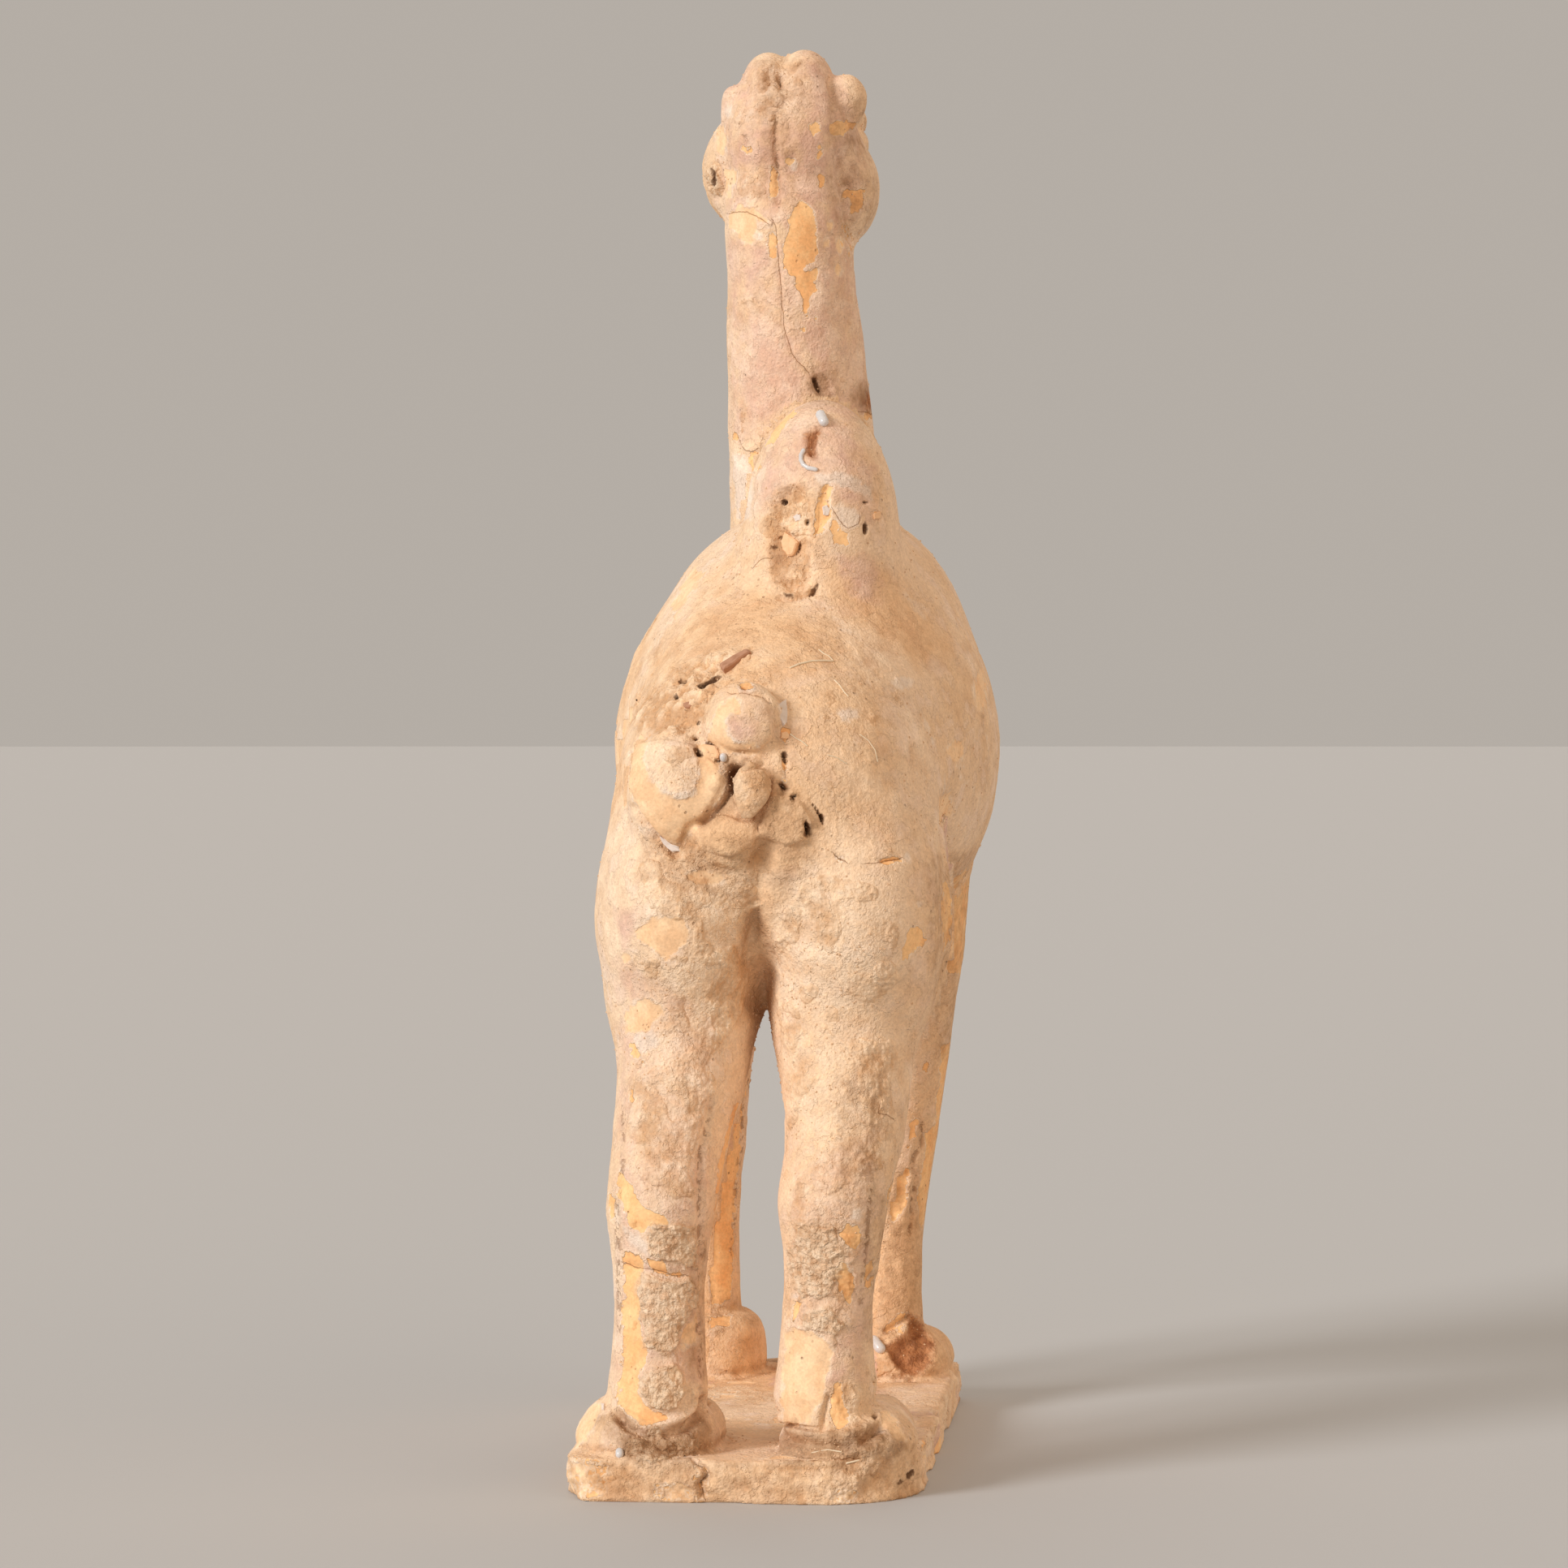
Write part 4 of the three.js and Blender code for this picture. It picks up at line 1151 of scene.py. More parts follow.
# Rough dry earth that fills the breaks and clings in the corners.
SOIL = {
    "hump_break": (944, 612, 956, 603, 979, 596, 1001, 609, 1004, 637, 1004, 664, 999, 676, 1005, 694,
        1003, 717, 992, 733, 969, 731, 951, 719, 945, 700, 947, 676, 938, 650),
    "tail_top": (800, 835, 850, 815, 890, 796, 926, 797, 920, 815, 890, 838, 905, 850, 880, 868, 862, 905,
        850, 912, 812, 908, 785, 905, 778, 880, 786, 855),
    "tail_left": (800, 948, 812, 934, 828, 919, 849, 915, 858, 932, 858, 961, 854, 976, 841, 979, 820,
        969, 805, 961),
    "under_tail_left": (775, 1000, 800, 1025, 838, 1050, 860, 1040, 890, 1062, 880, 1075, 830, 1070, 800,
        1062, 782, 1040),
    "thigh_left": (795, 1050, 840, 1062, 935, 1062, 930, 1180, 900, 1210, 850, 1190, 852, 1140, 800, 1120,
        790, 1080),
    "thigh_mid": (780, 1180, 930, 1180, 925, 1240, 880, 1300, 850, 1390, 790, 1380, 785, 1300),
    "thigh_right": (990, 1080, 1060, 1080, 1110, 1120, 1105, 1230, 1060, 1260, 960, 1260, 940, 1200, 960,
        1130),
    "knee_right": (960, 1250, 1100, 1270, 1110, 1380, 1080, 1480, 1050, 1600, 1030, 1660, 990, 1650, 975,
        1560, 970, 1400),
    "leg_left": (775, 1300, 880, 1300, 870, 1380, 855, 1480, 790, 1470, 772, 1400),
    "crown_hollow": (930, 75, 985, 76, 992, 120, 985, 140, 950, 150, 905, 165, 900, 140, 935, 120),
    "nape_rough": (901, 232, 910, 216, 930, 209, 945, 224, 946, 241, 926, 247, 903, 239),
    "fore_right_foot": (1073, 1672, 1104, 1660, 1106, 1690, 1090, 1702, 1073, 1700),
    "tail_stub": (915, 938, 930, 936, 943, 952, 947, 970, 940, 990, 926, 1006, 914, 1004, 905, 985, 905,
        958),
}

# Crumbled lumps with gaps between them, each with how strongly they stand out.
RUBBLE = {
    "tail_top": ((812, 838, 850, 815, 890, 798, 926, 800, 916, 820, 890, 842, 874, 868, 862, 900, 830,
        912, 790, 900, 776, 884, 790, 858), 1.0),
    "tail_mid": ((846, 905, 870, 908, 896, 926, 905, 946, 898, 990, 880, 1012, 862, 1020, 884, 985, 892,
        955, 868, 925), 0.7),
    "tail_foot": ((800, 1026, 850, 1030, 905, 1058, 940, 1040, 960, 1050, 930, 1076, 850, 1082), 0.5),
    "hump_break": ((962, 602, 985, 590, 1001, 606, 1002, 664, 1004, 694, 1006, 717, 990, 733, 962, 728,
        944, 710, 940, 676, 946, 640, 954, 615), 0.8),
    "crown": ((934, 92, 950, 80, 978, 82, 984, 120, 980, 138, 940, 146, 908, 160, 904, 140, 930, 118),
        0.6),
    "seam": ((950, 868, 972, 862, 974, 900, 976, 940, 962, 950, 956, 900), 0.35),
    "foot_right": ((1073, 1660, 1100, 1650, 1106, 1690, 1090, 1702, 1073, 1702), 0.6),
    "socket_left": ((748, 1760, 800, 1768, 862, 1758, 884, 1776, 862, 1800, 770, 1802), 0.4),
    "socket_right": ((958, 1764, 1010, 1770, 1082, 1762, 1086, 1786, 1050, 1798, 964, 1792), 0.45),
}

# Thick grey-brown crust with an open, grainy face.
CRUST = {
    "shin_left_high": (804, 1509, 831, 1502, 856, 1514, 858, 1560, 844, 1568, 820, 1562, 804, 1548, 799,
        1531),
    "shin_left": (789, 1585, 796, 1572, 821, 1575, 848, 1575, 860, 1586, 860, 1615, 848, 1629, 839, 1651,
        835, 1665, 814, 1673, 798, 1661, 794, 1647, 790, 1620, 792, 1603, 785, 1592),
    "shin_left_low": (790, 1688, 801, 1682, 828, 1681, 842, 1692, 842, 1719, 835, 1736, 814, 1742, 801,
        1735, 789, 1719),
    "heel_left": (769, 1780, 790, 1762, 812, 1761, 821, 1772, 842, 1774, 862, 1779, 852, 1796, 820, 1801,
        789, 1802, 768, 1792),
    "shin_right": (986, 1620, 1020, 1610, 1032, 1614, 1044, 1632, 1029, 1652, 1010, 1651, 988, 1634),
    "knee_right": (975, 1515, 1030, 1508, 1042, 1545, 1020, 1600, 985, 1600, 975, 1560),
    "cheek_left_break": (878, 198, 886, 205, 888, 232, 884, 246, 876, 238, 873, 214),
}

# Brown colour in the corners and the sheltered places, with no edge of its own: painted shade, with some
# dirt.
GRIME = {
    "cheek": oval(1050, 173, 9, 7),
    "cheek_low": oval(1046, 222, 7, 9),
    "neck_foot": (999, 459, 1023, 460, 1028, 481, 1023, 492, 1007, 496, 997, 478),
    "neck_foot_right": (1058, 474, 1076, 472, 1080, 510, 1062, 507, 1050, 492),
    "crevice": (888, 935, 925, 934, 908, 950, 904, 990, 884, 1014, 866, 1020, 880, 990, 893, 965),
    "ankle_left": (750, 1745, 770, 1742, 790, 1758, 778, 1772, 758, 1768),
    "foot_right": (1090, 1768, 1112, 1772, 1122, 1786, 1106, 1796, 1088, 1792),
    "socket_left": (740, 1748, 790, 1764, 830, 1766, 868, 1742, 884, 1772, 876, 1792, 846, 1802, 790,
        1806, 766, 1790),
    "socket_right": (950, 1764, 966, 1752, 1000, 1764, 1040, 1766, 1080, 1752, 1100, 1772, 1090, 1790,
        1050, 1803, 1010, 1800, 980, 1806, 946, 1790),
}

# Places where this painted shade and dirt is only faint.
THIN_SHADE_AND_GRIME = {
    "cleft": (919, 1121, 941, 1118, 945, 1164, 926, 1190, 918, 1155),
    "cheek_right": (1030, 170, 1062, 180, 1080, 240, 1074, 290, 1040, 285, 1026, 230),
    "crown_groove": (944, 150, 966, 150, 975, 205, 975, 246, 940, 246, 944, 200),
    "fore_right_shade": (1074, 1480, 1130, 1460, 1132, 1620, 1074, 1650),
    "fore_left_hem": (868, 1604, 915, 1604, 930, 1626, 870, 1640),
    "leg_left_inner": (860, 1540, 872, 1540, 872, 1620, 862, 1720, 852, 1720),
    "slab_edge": (700, 1806, 1130, 1806, 1128, 1858, 700, 1856),
    "flap": (944, 975, 985, 985, 1003, 1012, 992, 1034, 955, 1038, 930, 1033),
    "crown_hollow": (936, 80, 985, 76, 986, 130, 940, 140),
    "fore_right": (1150, 1060, 1215, 1050, 1200, 1260, 1160, 1300),
    "leg_right_mid": (1040, 1330, 1080, 1330, 1074, 1480, 1040, 1480),
    "topknot_right": (1024, 110, 1062, 120, 1062, 178, 1030, 175),
    "under_tail": (800, 1030, 920, 1040, 1000, 1030, 990, 1075, 900, 1100, 800, 1080),
}

# White slip that shows through, in spots and thin films.
FILM = {
    "slip_spot": oval(1132, 1114, 4, 5),
    "tail_left_rim": (797, 938, 804, 962, 817, 973, 836, 978, 854, 972, 860, 950, 865, 958, 859, 982, 836,
        988, 812, 980, 797, 965),
    "tail_top_rim": (891, 884, 899, 880, 897, 894, 904, 908, 918, 920, 908, 923, 896, 912, 890, 897),
    "hump_smear": (1003, 586, 1030, 581, 1060, 590, 1074, 600, 1076, 618, 1060, 606, 1030, 598, 1008,
        596),
    "hump_flake_rim": (1026, 624, 1037, 620, 1057, 629, 1061, 638, 1059, 648, 1044, 653, 1033, 642),
    "rump_high": oval(1046, 880, 14, 8),
    "rump_right": oval(1112, 842, 12, 7),
    "thigh_flake": (778, 1280, 797, 1268, 816, 1280, 809, 1289, 788, 1297),
    "nape_white": oval(935, 291, 5, 6),
    "crown_white": oval(979, 204, 3.5, 8),
    "ear_white": (893, 128, 903, 131, 899, 146, 891, 144),
    "rump_slot_white": oval(1119, 1058, 5, 6),
    "seam_flake": (960, 868, 967, 862, 971, 884, 967, 893, 961, 880),
    "hole_rim": oval(921, 846, 11, 6),
    "hind_left_white": (768, 1512, 783, 1520, 796, 1530, 800, 1548, 790, 1544, 770, 1526),
    "hind_right_white": oval(1032, 1578, 3, 3),
    "hind_right_scuff": oval(984, 1667, 4, 7),
    "hind_right_fleck": (1000, 1708, 1008, 1706, 1006, 1728, 998, 1734),
    "heel_white": oval(1088, 1760, 6, 6),
    "neck_cream": (903, 560, 916, 560, 926, 585, 926, 640, 906, 640),
    "knee_right_white": oval(1056, 1498, 6, 8),
    "slip_right": oval(978, 1596, 4, 5),
}

# Broken faces of the darker, brown body of the clay.
BREAK = {
    "fore_right_foot": (1123, 1623, 1139, 1631, 1153, 1656, 1150, 1680, 1129, 1696, 1112, 1696, 1096,
        1677, 1088, 1661, 1112, 1645),
    "hump_gouge": (1013, 526, 1003, 528, 994, 535, 991, 546, 992, 558, 999, 563, 1004, 561, 1007, 552,
        1010, 540),
    "neck_foot_right": (1066, 486, 1073, 480, 1079, 492, 1077, 504, 1070, 507, 1063, 497),
    "hole_inside": oval(918, 846, 6, 3),
}

# Seams left by the mould and worn lines, marked by rows of pits painted dark: painted shade.
PITS = {
    "hind_left_seam": (876, 1355, 871, 1393, 864, 1417, 862, 1462, 864, 1514, 868, 1540, 862, 1580, 863,
        1640, 864, 1700),
    "hind_left_outer": (769, 1364, 768, 1436, 761, 1470, 760, 1500, 763, 1560, 763, 1640),
    "fore_right_seam": (1136, 1386, 1135, 1411, 1126, 1426, 1124, 1440, 1130, 1448, 1126, 1471, 1121,
        1497, 1120, 1520),
    "fore_left_seam": (916, 1357, 915, 1400, 907, 1462, 905, 1514, 901, 1545),
    "hind_right_side": (1074, 1440, 1070, 1500, 1064, 1560, 1060, 1610),
    "crown_groove": (956, 143, 955, 176, 958, 209, 959, 249),
    "forehead": (908, 150, 912, 160, 918, 168, 922, 175),
    "ankle_left_line": (755, 1745, 770, 1750),
}

# Cracks and open edges of flakes.
CRACKS = {
    "neck": (952, 271, 956, 281, 957, 297, 959, 323, 961, 340, 963, 357, 963, 376, 965, 388, 966, 405,
        971, 419, 976, 436, 983, 446, 992, 453, 996, 459),
    "nape": (897, 263, 908, 261, 918, 261, 931, 266, 946, 275),
    "neck_lap": (911, 541, 914, 549, 918, 555, 927, 557, 934, 553, 939, 543),
    "neck_right": (1058, 507, 1068, 508, 1077, 513),
    "tail_top": (899, 853, 915, 852, 929, 854, 942, 857, 948, 863),
    "tail_slit": (781, 923, 779, 938, 774, 956),
    "rump_slot": (1066, 1064, 1080, 1063, 1092, 1060, 1110, 1057),
    "rump_hook": (1028, 1053, 1034, 1058, 1042, 1061),
    "hump_flake": (1026, 626, 1031, 636, 1038, 646, 1046, 651, 1058, 646, 1060, 636),
    "hump_left": (928, 698, 936, 690, 945, 687),
    "shin_left": (769, 1557, 780, 1562, 789, 1564, 806, 1565, 819, 1569, 831, 1573, 845, 1572),
    "knee_right": (1084, 1362, 1083, 1372, 1092, 1374, 1099, 1379),
    "leg_right_ledge": (1111, 1440, 1103, 1450, 1098, 1462),
    "leg_right_low": (1094, 1490, 1095, 1505, 1098, 1515, 1090, 1528, 1083, 1542),
    "slab_zigzag": (858, 1800, 866, 1808, 872, 1818, 863, 1828, 866, 1840, 870, 1854),
    "slab_top": (888, 1716, 905, 1722, 922, 1724, 940, 1733, 958, 1738),
    "slab_right": (1077, 1703, 1090, 1711, 1103, 1709, 1121, 1703),
    "chunk": (953, 131, 960, 132, 966, 129),
    "foot_line": (1000, 1800, 1030, 1797, 1060, 1797),
}

# Tool strokes: the larger steps, hollows and lumps of the worn clay, each with its height and the width of
# its edge in millimetres.
STROKES = {
    "hump_break": Stroke((958, 596, 980, 592, 1003, 610, 1005, 640, 1002, 680, 1004, 715, 990, 735, 968,
        732, 948, 715, 944, 690, 940, 650, 945, 615), -2.6, 3.0),
    "hump_break_step": Stroke((948, 690, 1000, 690, 998, 722, 970, 724, 952, 712), 1.6, 3.0),
    "hump_break_hem": Stroke((960, 735, 975, 736, 1005, 729), -1.8, 1.2, False),
    "hump_gouge": Stroke((1012, 528, 1003, 528, 995, 538, 992, 551, 996, 562, 1003, 565, 1007, 548),
        -1.8, 1.2),
    "tail_lobe": Stroke((780, 915, 820, 909, 856, 916, 884, 936, 893, 950, 893, 968, 884, 986, 868, 1008,
        848, 1018, 838, 1046, 820, 1040, 803, 1022, 788, 1002, 772, 968), 1.3, 1.6),
    "tail_top": Stroke((876, 880, 886, 862, 905, 853, 930, 856, 948, 864, 954, 890, 950, 915, 930, 930,
        905, 928, 884, 918, 874, 900), 0.9, 1.6),
    "tail_crevice": Stroke((914, 943, 902, 946, 898, 957, 899, 974), -5.4, 1.35, False),
    "tail_crevice_low": Stroke((897, 976, 890, 990, 876, 1004, 862, 1014), -2.6, 1.3, False),
    "stub_gap": Stroke((928, 940, 938, 944), -3.0, 1.2, False),
    "tail_stub": Stroke((924, 937, 934, 946, 947, 960, 947, 972, 940, 988, 928, 1004, 916, 1006, 908,
        990, 903, 962, 912, 948), 2.4, 1.1),
    "stub_crease": Stroke((905, 970, 916, 955, 934, 949), -0.9, 0.7, False),
    "stub_edge": Stroke((948, 962, 946, 978, 938, 994, 926, 1008, 912, 1009), -1.6, 1.2, False),
    "tail_foot": Stroke((876, 1010, 892, 1002, 912, 1010, 932, 1008, 936, 1030, 926, 1048, 905, 1057,
        885, 1055, 872, 1042), 1.5, 1.1),
    "sherd_bed": Stroke((850, 822, 880, 800, 900, 815, 885, 835, 856, 850), -1.4, 3.0),
    "sherd_slot": Stroke((863, 845, 874, 840, 886, 833), -3.4, 0.9, False),
    "flap": Stroke((944, 975, 985, 985, 1003, 1012, 992, 1034, 974, 1043, 955, 1038, 930, 1033, 940,
        1000), 1.7, 0.6),
    "flap_slot": Stroke((992, 1014, 994, 1021, 996, 1028), -3.6, 0.8, False),
    "flap_line": Stroke((997, 984, 1009, 1002), -0.8, 0.5, False),
    "flap_dot": Stroke((1012, 1005, 1014, 1013), -3.0, 0.7, False),
    "seam_slot": Stroke((966, 930, 967, 939), -3.0, 0.7, False),
    "seam_groove": Stroke((966, 940, 968, 958), -1.0, 0.8, False),
    "seam_low": Stroke((962, 966, 968, 971), -3.0, 0.9, False),
    "ring": Stroke(oval(974, 979, 10, 9), 1.5, 1.2),
    "ring_hole": Stroke(oval(977, 983, 4, 4), -2.6, 0.8),
    "slot_left": Stroke(oval(860, 930, 4, 5), -3.4, 0.7),
    "slot_over": Stroke(oval(857, 909, 4, 4), -3.4, 0.8),
    "slot_right": Stroke(oval(884, 937, 3, 3), -2.4, 0.6),
    "slot_high": Stroke((873, 918, 879, 925), -3.2, 0.7, False),
    "tail_flake": Stroke(VEILED["tail_flake"], 0.9, 0.5),
    "rim_hole": Stroke(oval(918, 846, 7, 4), -1.5, 0.8),
    "rubble_high": Stroke(oval(841, 839, 7, 5), -1.8, 1.6),
    "rubble_mid": Stroke(oval(833, 858, 5, 5), -1.6, 1.4),
    "rubble_left": Stroke(oval(782, 880, 6, 4), -1.2, 1.2),
    "break_pit": Stroke(oval(960, 617, 6, 5), -1.4, 1.2),
    "break_pit_right": Stroke(oval(993, 643, 5, 5), -1.4, 1.2),
    "tail_slit": Stroke(CRACKS["tail_slit"], -1.2, 1.0, False),
    "under_tail_left": Stroke((780, 995, 790, 1008, 804, 1026, 818, 1041, 834, 1054), -1.5, 1.8, False),
    "under_tail": Stroke((868, 1052, 884, 1058, 904, 1057, 920, 1046), -0.9, 1.4, False),
    "cleft": Stroke((945, 1044, 941, 1068, 934, 1092, 930, 1120, 929, 1160, 928, 1205, 928, 1238), -2.2,
        5.0, False),
    "cleft_hollow": Stroke((919, 1121, 941, 1118, 945, 1139, 940, 1164, 926, 1190, 918, 1160), -1.2, 2.5),
    "crown_groove": Stroke((956, 140, 955, 176, 958, 209, 959, 250), -1.3, 1.9, False),
    "crown_hollow": Stroke((936, 84, 968, 74, 984, 82, 985, 128, 965, 140, 944, 128), -1.3, 2.6),
    "crown_slot": Stroke((960, 90, 962, 104), -2.2, 1.0, False),
    "crown_chunk": Stroke((944, 104, 955, 101, 965, 118, 964, 128, 955, 129, 946, 118), 1.5, 1.0),
    "crown_grain": Stroke(oval(971, 66, 4, 4), 1.2, 1.0),
    "cheek_right": Stroke((1026, 166, 1034, 190, 1041, 222, 1047, 262, 1048, 292), -1.6, 4.5, False),
    "topknot_right": Stroke((1022, 100, 1028, 126, 1028, 150), -1.0, 1.8, False),
    "topknot_left": Stroke((918, 102, 921, 130, 917, 152), -0.8, 2.0, False),
    "neck_pit": Stroke(oval(1004, 468, 6, 5), -1.8, 1.4),
    "neck_pit_low": Stroke(oval(1013, 483, 4, 4), -1.6, 1.1),
    "neck_foot": Stroke((1002, 458, 1024, 462, 1028, 486, 1008, 496, 998, 478), -1.0, 1.8),
    "neck_lap": Stroke((911, 541, 914, 549, 918, 555, 927, 557, 934, 553, 939, 543, 944, 560, 936, 582,
        926, 590, 908, 570), -0.9, 0.7),
    "hump_pit": Stroke(oval(1067, 619, 5, 3), -1.3, 0.8),
    "hump_slit": Stroke(oval(1066, 651, 4, 8), -1.6, 0.9),
    "hump_dot": Stroke(oval(1069, 671, 3, 3), -1.3, 0.8),
    "shin_left": Stroke((789, 1585, 796, 1572, 821, 1575, 848, 1575, 860, 1586, 860, 1615, 848, 1629,
        839, 1651, 835, 1665, 814, 1673, 798, 1661, 794, 1647, 790, 1620, 785, 1592), 0.9, 0.8),
    "shin_left_low": Stroke(CRUST["shin_left_low"], 0.6, 0.8),
    "shin_left_crack": Stroke((770, 1557, 789, 1564, 819, 1569, 845, 1572), -0.8, 0.9, False),
    "socket_left": Stroke((762, 1744, 772, 1758, 796, 1768, 821, 1768, 846, 1759, 862, 1744, 868, 1726),
        -3.2, 2.4, False),
    "socket_left_pit": Stroke((786, 1767, 812, 1766, 826, 1776, 816, 1790, 790, 1790), -2.0, 2.4),
    "ankle_left": Stroke((764, 1722, 772, 1740, 796, 1753, 821, 1754, 846, 1744, 862, 1728), 0.9, 1.6,
        False),
    "socket_right": Stroke((958, 1762, 970, 1776, 1000, 1781, 1040, 1782, 1070, 1774, 1084, 1758), -2.2,
        2.4, False),
    "ankle_right": Stroke((958, 1746, 972, 1762, 1000, 1767, 1040, 1768, 1066, 1760), 0.9, 1.6, False),
    "heel_right": Stroke((1021, 1722, 1016, 1744, 1013, 1762), -1.6, 1.6, False),
    "foot_pit": Stroke(oval(1078, 1744, 5, 5), -2.2, 1.2),
    "hind_left_seam": Stroke((876, 1355, 871, 1393, 864, 1417, 862, 1462, 864, 1514, 866, 1560, 863,
        1640), -0.9, 1.6, False),
    "fore_right_seam": Stroke((1136, 1386, 1135, 1411, 1126, 1426, 1124, 1440, 1130, 1448, 1126, 1471,
        1120, 1520), -0.9, 1.3, False),
    "fore_right_patch": Stroke((1117, 1440, 1122, 1446, 1117, 1479, 1110, 1497, 1100, 1505, 1093, 1490,
        1094, 1469, 1103, 1453), -0.6, 0.5),
    "fore_right_foot": Stroke((1123, 1623, 1139, 1631, 1153, 1656, 1150, 1680, 1129, 1696, 1112, 1696,
        1096, 1677, 1090, 1661, 1112, 1645), -2.2, 2.6),
    "fore_right_ledge": Stroke((1090, 1640, 1104, 1634, 1118, 1624), -1.2, 1.4, False),
    "slab_right": Stroke((1077, 1703, 1093, 1712, 1114, 1706, 1123, 1702), -1.6, 1.2, False),
    "slab_zigzag": Stroke((856, 1798, 866, 1808, 872, 1818, 862, 1828, 866, 1840, 864, 1854), -2.0, 1.5,
        False),
    "rump_slot": Stroke((1086, 1061, 1098, 1059, 1110, 1057), -1.2, 0.7, False),
    "rump_hook": Stroke(CRACKS["rump_hook"], -1.0, 0.6, False),
    "hump_wedge": Stroke((1019, 596, 1011, 601, 1006, 623, 1003, 660, 1015, 652, 1024, 640, 1024, 601),
        -0.9, 0.8),
    "barrel_right": Stroke((1168, 985, 1166, 1040, 1168, 1100, 1168, 1180, 1160, 1240), -1.4, 3.5, False),
    "cheek_left": Stroke((881, 202, 886, 214, 888, 232, 883, 244), -1.2, 1.6, False),
    "neck_crack": Stroke((952, 271, 957, 297, 961, 340, 963, 376, 966, 405, 976, 436, 996, 459), -0.7,
        0.8, False),
    "nape_crack": Stroke((897, 263, 918, 261, 931, 266, 946, 275), -0.5, 0.6, False),
    "tail_top_edge": Stroke(CRACKS["tail_top"], -0.9, 0.8, False),
    "slab_top": Stroke(CRACKS["slab_top"], -0.5, 0.6, False),
}


def placed(name: str, mesh: bpy.types.Mesh) -> bpy.types.Object:
    """Makes an object of a mesh and links it into the scene."""
    piece = bpy.data.objects.new(name, mesh)
    bpy.context.scene.collection.objects.link(piece)
    return piece


def new_object(name: str, points: Array, faces: Sequence[Sequence[int]]) -> bpy.types.Object:
    """Makes an object of corners and faces and links it into the scene.

    Args:
        name: Name of the object and its mesh.
        points: Corners in three rows, in millimetres.
        faces: Faces, each a row of corner numbers.

    Returns:
        The object, at the origin.
    """
    mesh = bpy.data.meshes.new(name)
    mesh.from_pydata((points.T * MM).tolist(), [], [list(face) for face in faces])
    mesh.update()
    return placed(name, mesh)


def finished_mesh(piece: bpy.types.Object) -> bpy.types.Mesh:
    """A plain mesh of an object with its modifiers applied."""
    graph = bpy.context.evaluated_depsgraph_get()
    return bpy.data.meshes.new_from_object(piece.evaluated_get(graph), depsgraph=graph)


def subdivided(points: Array, quads: Array, levels: int) -> bpy.types.Mesh:
    """A plain mesh of a net of quads, made finer and rounder."""
    rough = new_object("net", points, quads)
    finer = rough.modifiers.new("finer", "SUBSURF")
    finer.levels = finer.render_levels = levels
    mesh = finished_mesh(rough)
    bpy.data.objects.remove(rough)
    return mesh


def shade_smooth(mesh: bpy.types.Mesh) -> None:
    """Shades every face of a mesh smooth."""
    for polygon in mesh.polygons:
        polygon.use_smooth = True


def mesh_arrays(mesh: bpy.types.Mesh) -> tuple[Array, Array]:
    """Corners of a mesh in millimetres and their outward directions, three rows each."""
    points = np.zeros(len(mesh.vertices) * 3)
    normals = np.zeros(len(mesh.vertices) * 3)
    mesh.vertices.foreach_get("co", points)
    mesh.vertices.foreach_get("normal", normals)
    return points.reshape(-1, 3).T / MM, normals.reshape(-1, 3).T


def set_points(mesh: bpy.types.Mesh, points: Array) -> None:
    """Moves the corners of a mesh to points in millimetres."""
    mesh.vertices.foreach_set("co", (points.T * MM).ravel())
    mesh.update()


def add_measure(mesh: bpy.types.Mesh, name: str, values: Array) -> None:
    """Gives each corner of a mesh one named number."""
    layer = mesh.attributes.new(name, "FLOAT", "POINT")
    layer.data.foreach_set("value", values.astype(np.float32))


@dataclass(frozen=True)
class Scatter:
    """How a coat is scattered over the sides that the photograph doesn't show."""

    lump_mm: float
    seed: int
    level: float
    steep_mm: float

    def distance(self, p: Array) -> Array:
        """Distance in millimetres to the edge of the coat, above zero where it lies."""
        return (rough_noise(p, self.lump_mm, self.seed) - self.level) * self.steep_mm


@dataclass(frozen=True)
class Spread:
    """Where a coat lies: outlines read off the photograph, faint ones, and a scatter on the hidden sides."""

    outlines: dict[str, Outline]
    scatter: Scatter
    wander_mm: float = 0.0
    faint: dict[str, Outline] = field(default_factory=dict)
    faint_mm: float = 0.0


SPREADS = {
    Coat.BARE: Spread(BARE, Scatter(26.0, 11, 0.46, 26.0), 0.0, THIN_BARE, -0.3),
    Coat.VEILED: Spread(VEILED, Scatter(24.0, 71, 0.40, 26.0)),
    Coat.GRIME: Spread(GRIME, Scatter(30.0, 83, 0.60, 20.0), 0.0, THIN_SHADE_AND_GRIME, -0.8),
    Coat.MAUVE: Spread(MAUVE, Scatter(34.0, 23, 0.30, 30.0), 0.0, MOTTLED_MAUVE, 0.5),
    Coat.SOIL: Spread(SOIL, Scatter(42.0, 37, 0.20, 34.0), 0.0, THIN_SOIL, -0.8),
    Coat.CRUST: Spread(CRUST, Scatter(22.0, 41, 0.52, 22.0), 3.0),
    Coat.FILM: Spread(FILM, Scatter(11.0, 53, 0.66, 10.0)),
    Coat.BREAK: Spread(BREAK, Scatter(30.0, 67, 0.80, 20.0), 1.6),
    Coat.TAN: Spread(TAN, Scatter(60.0, 73, 0.10, 40.0), 0.0, THIN_TAN, -0.5),
    Coat.HOLE: Spread(HOLES, Scatter(9.0, 79, 0.78, 6.0), 0.7),
}


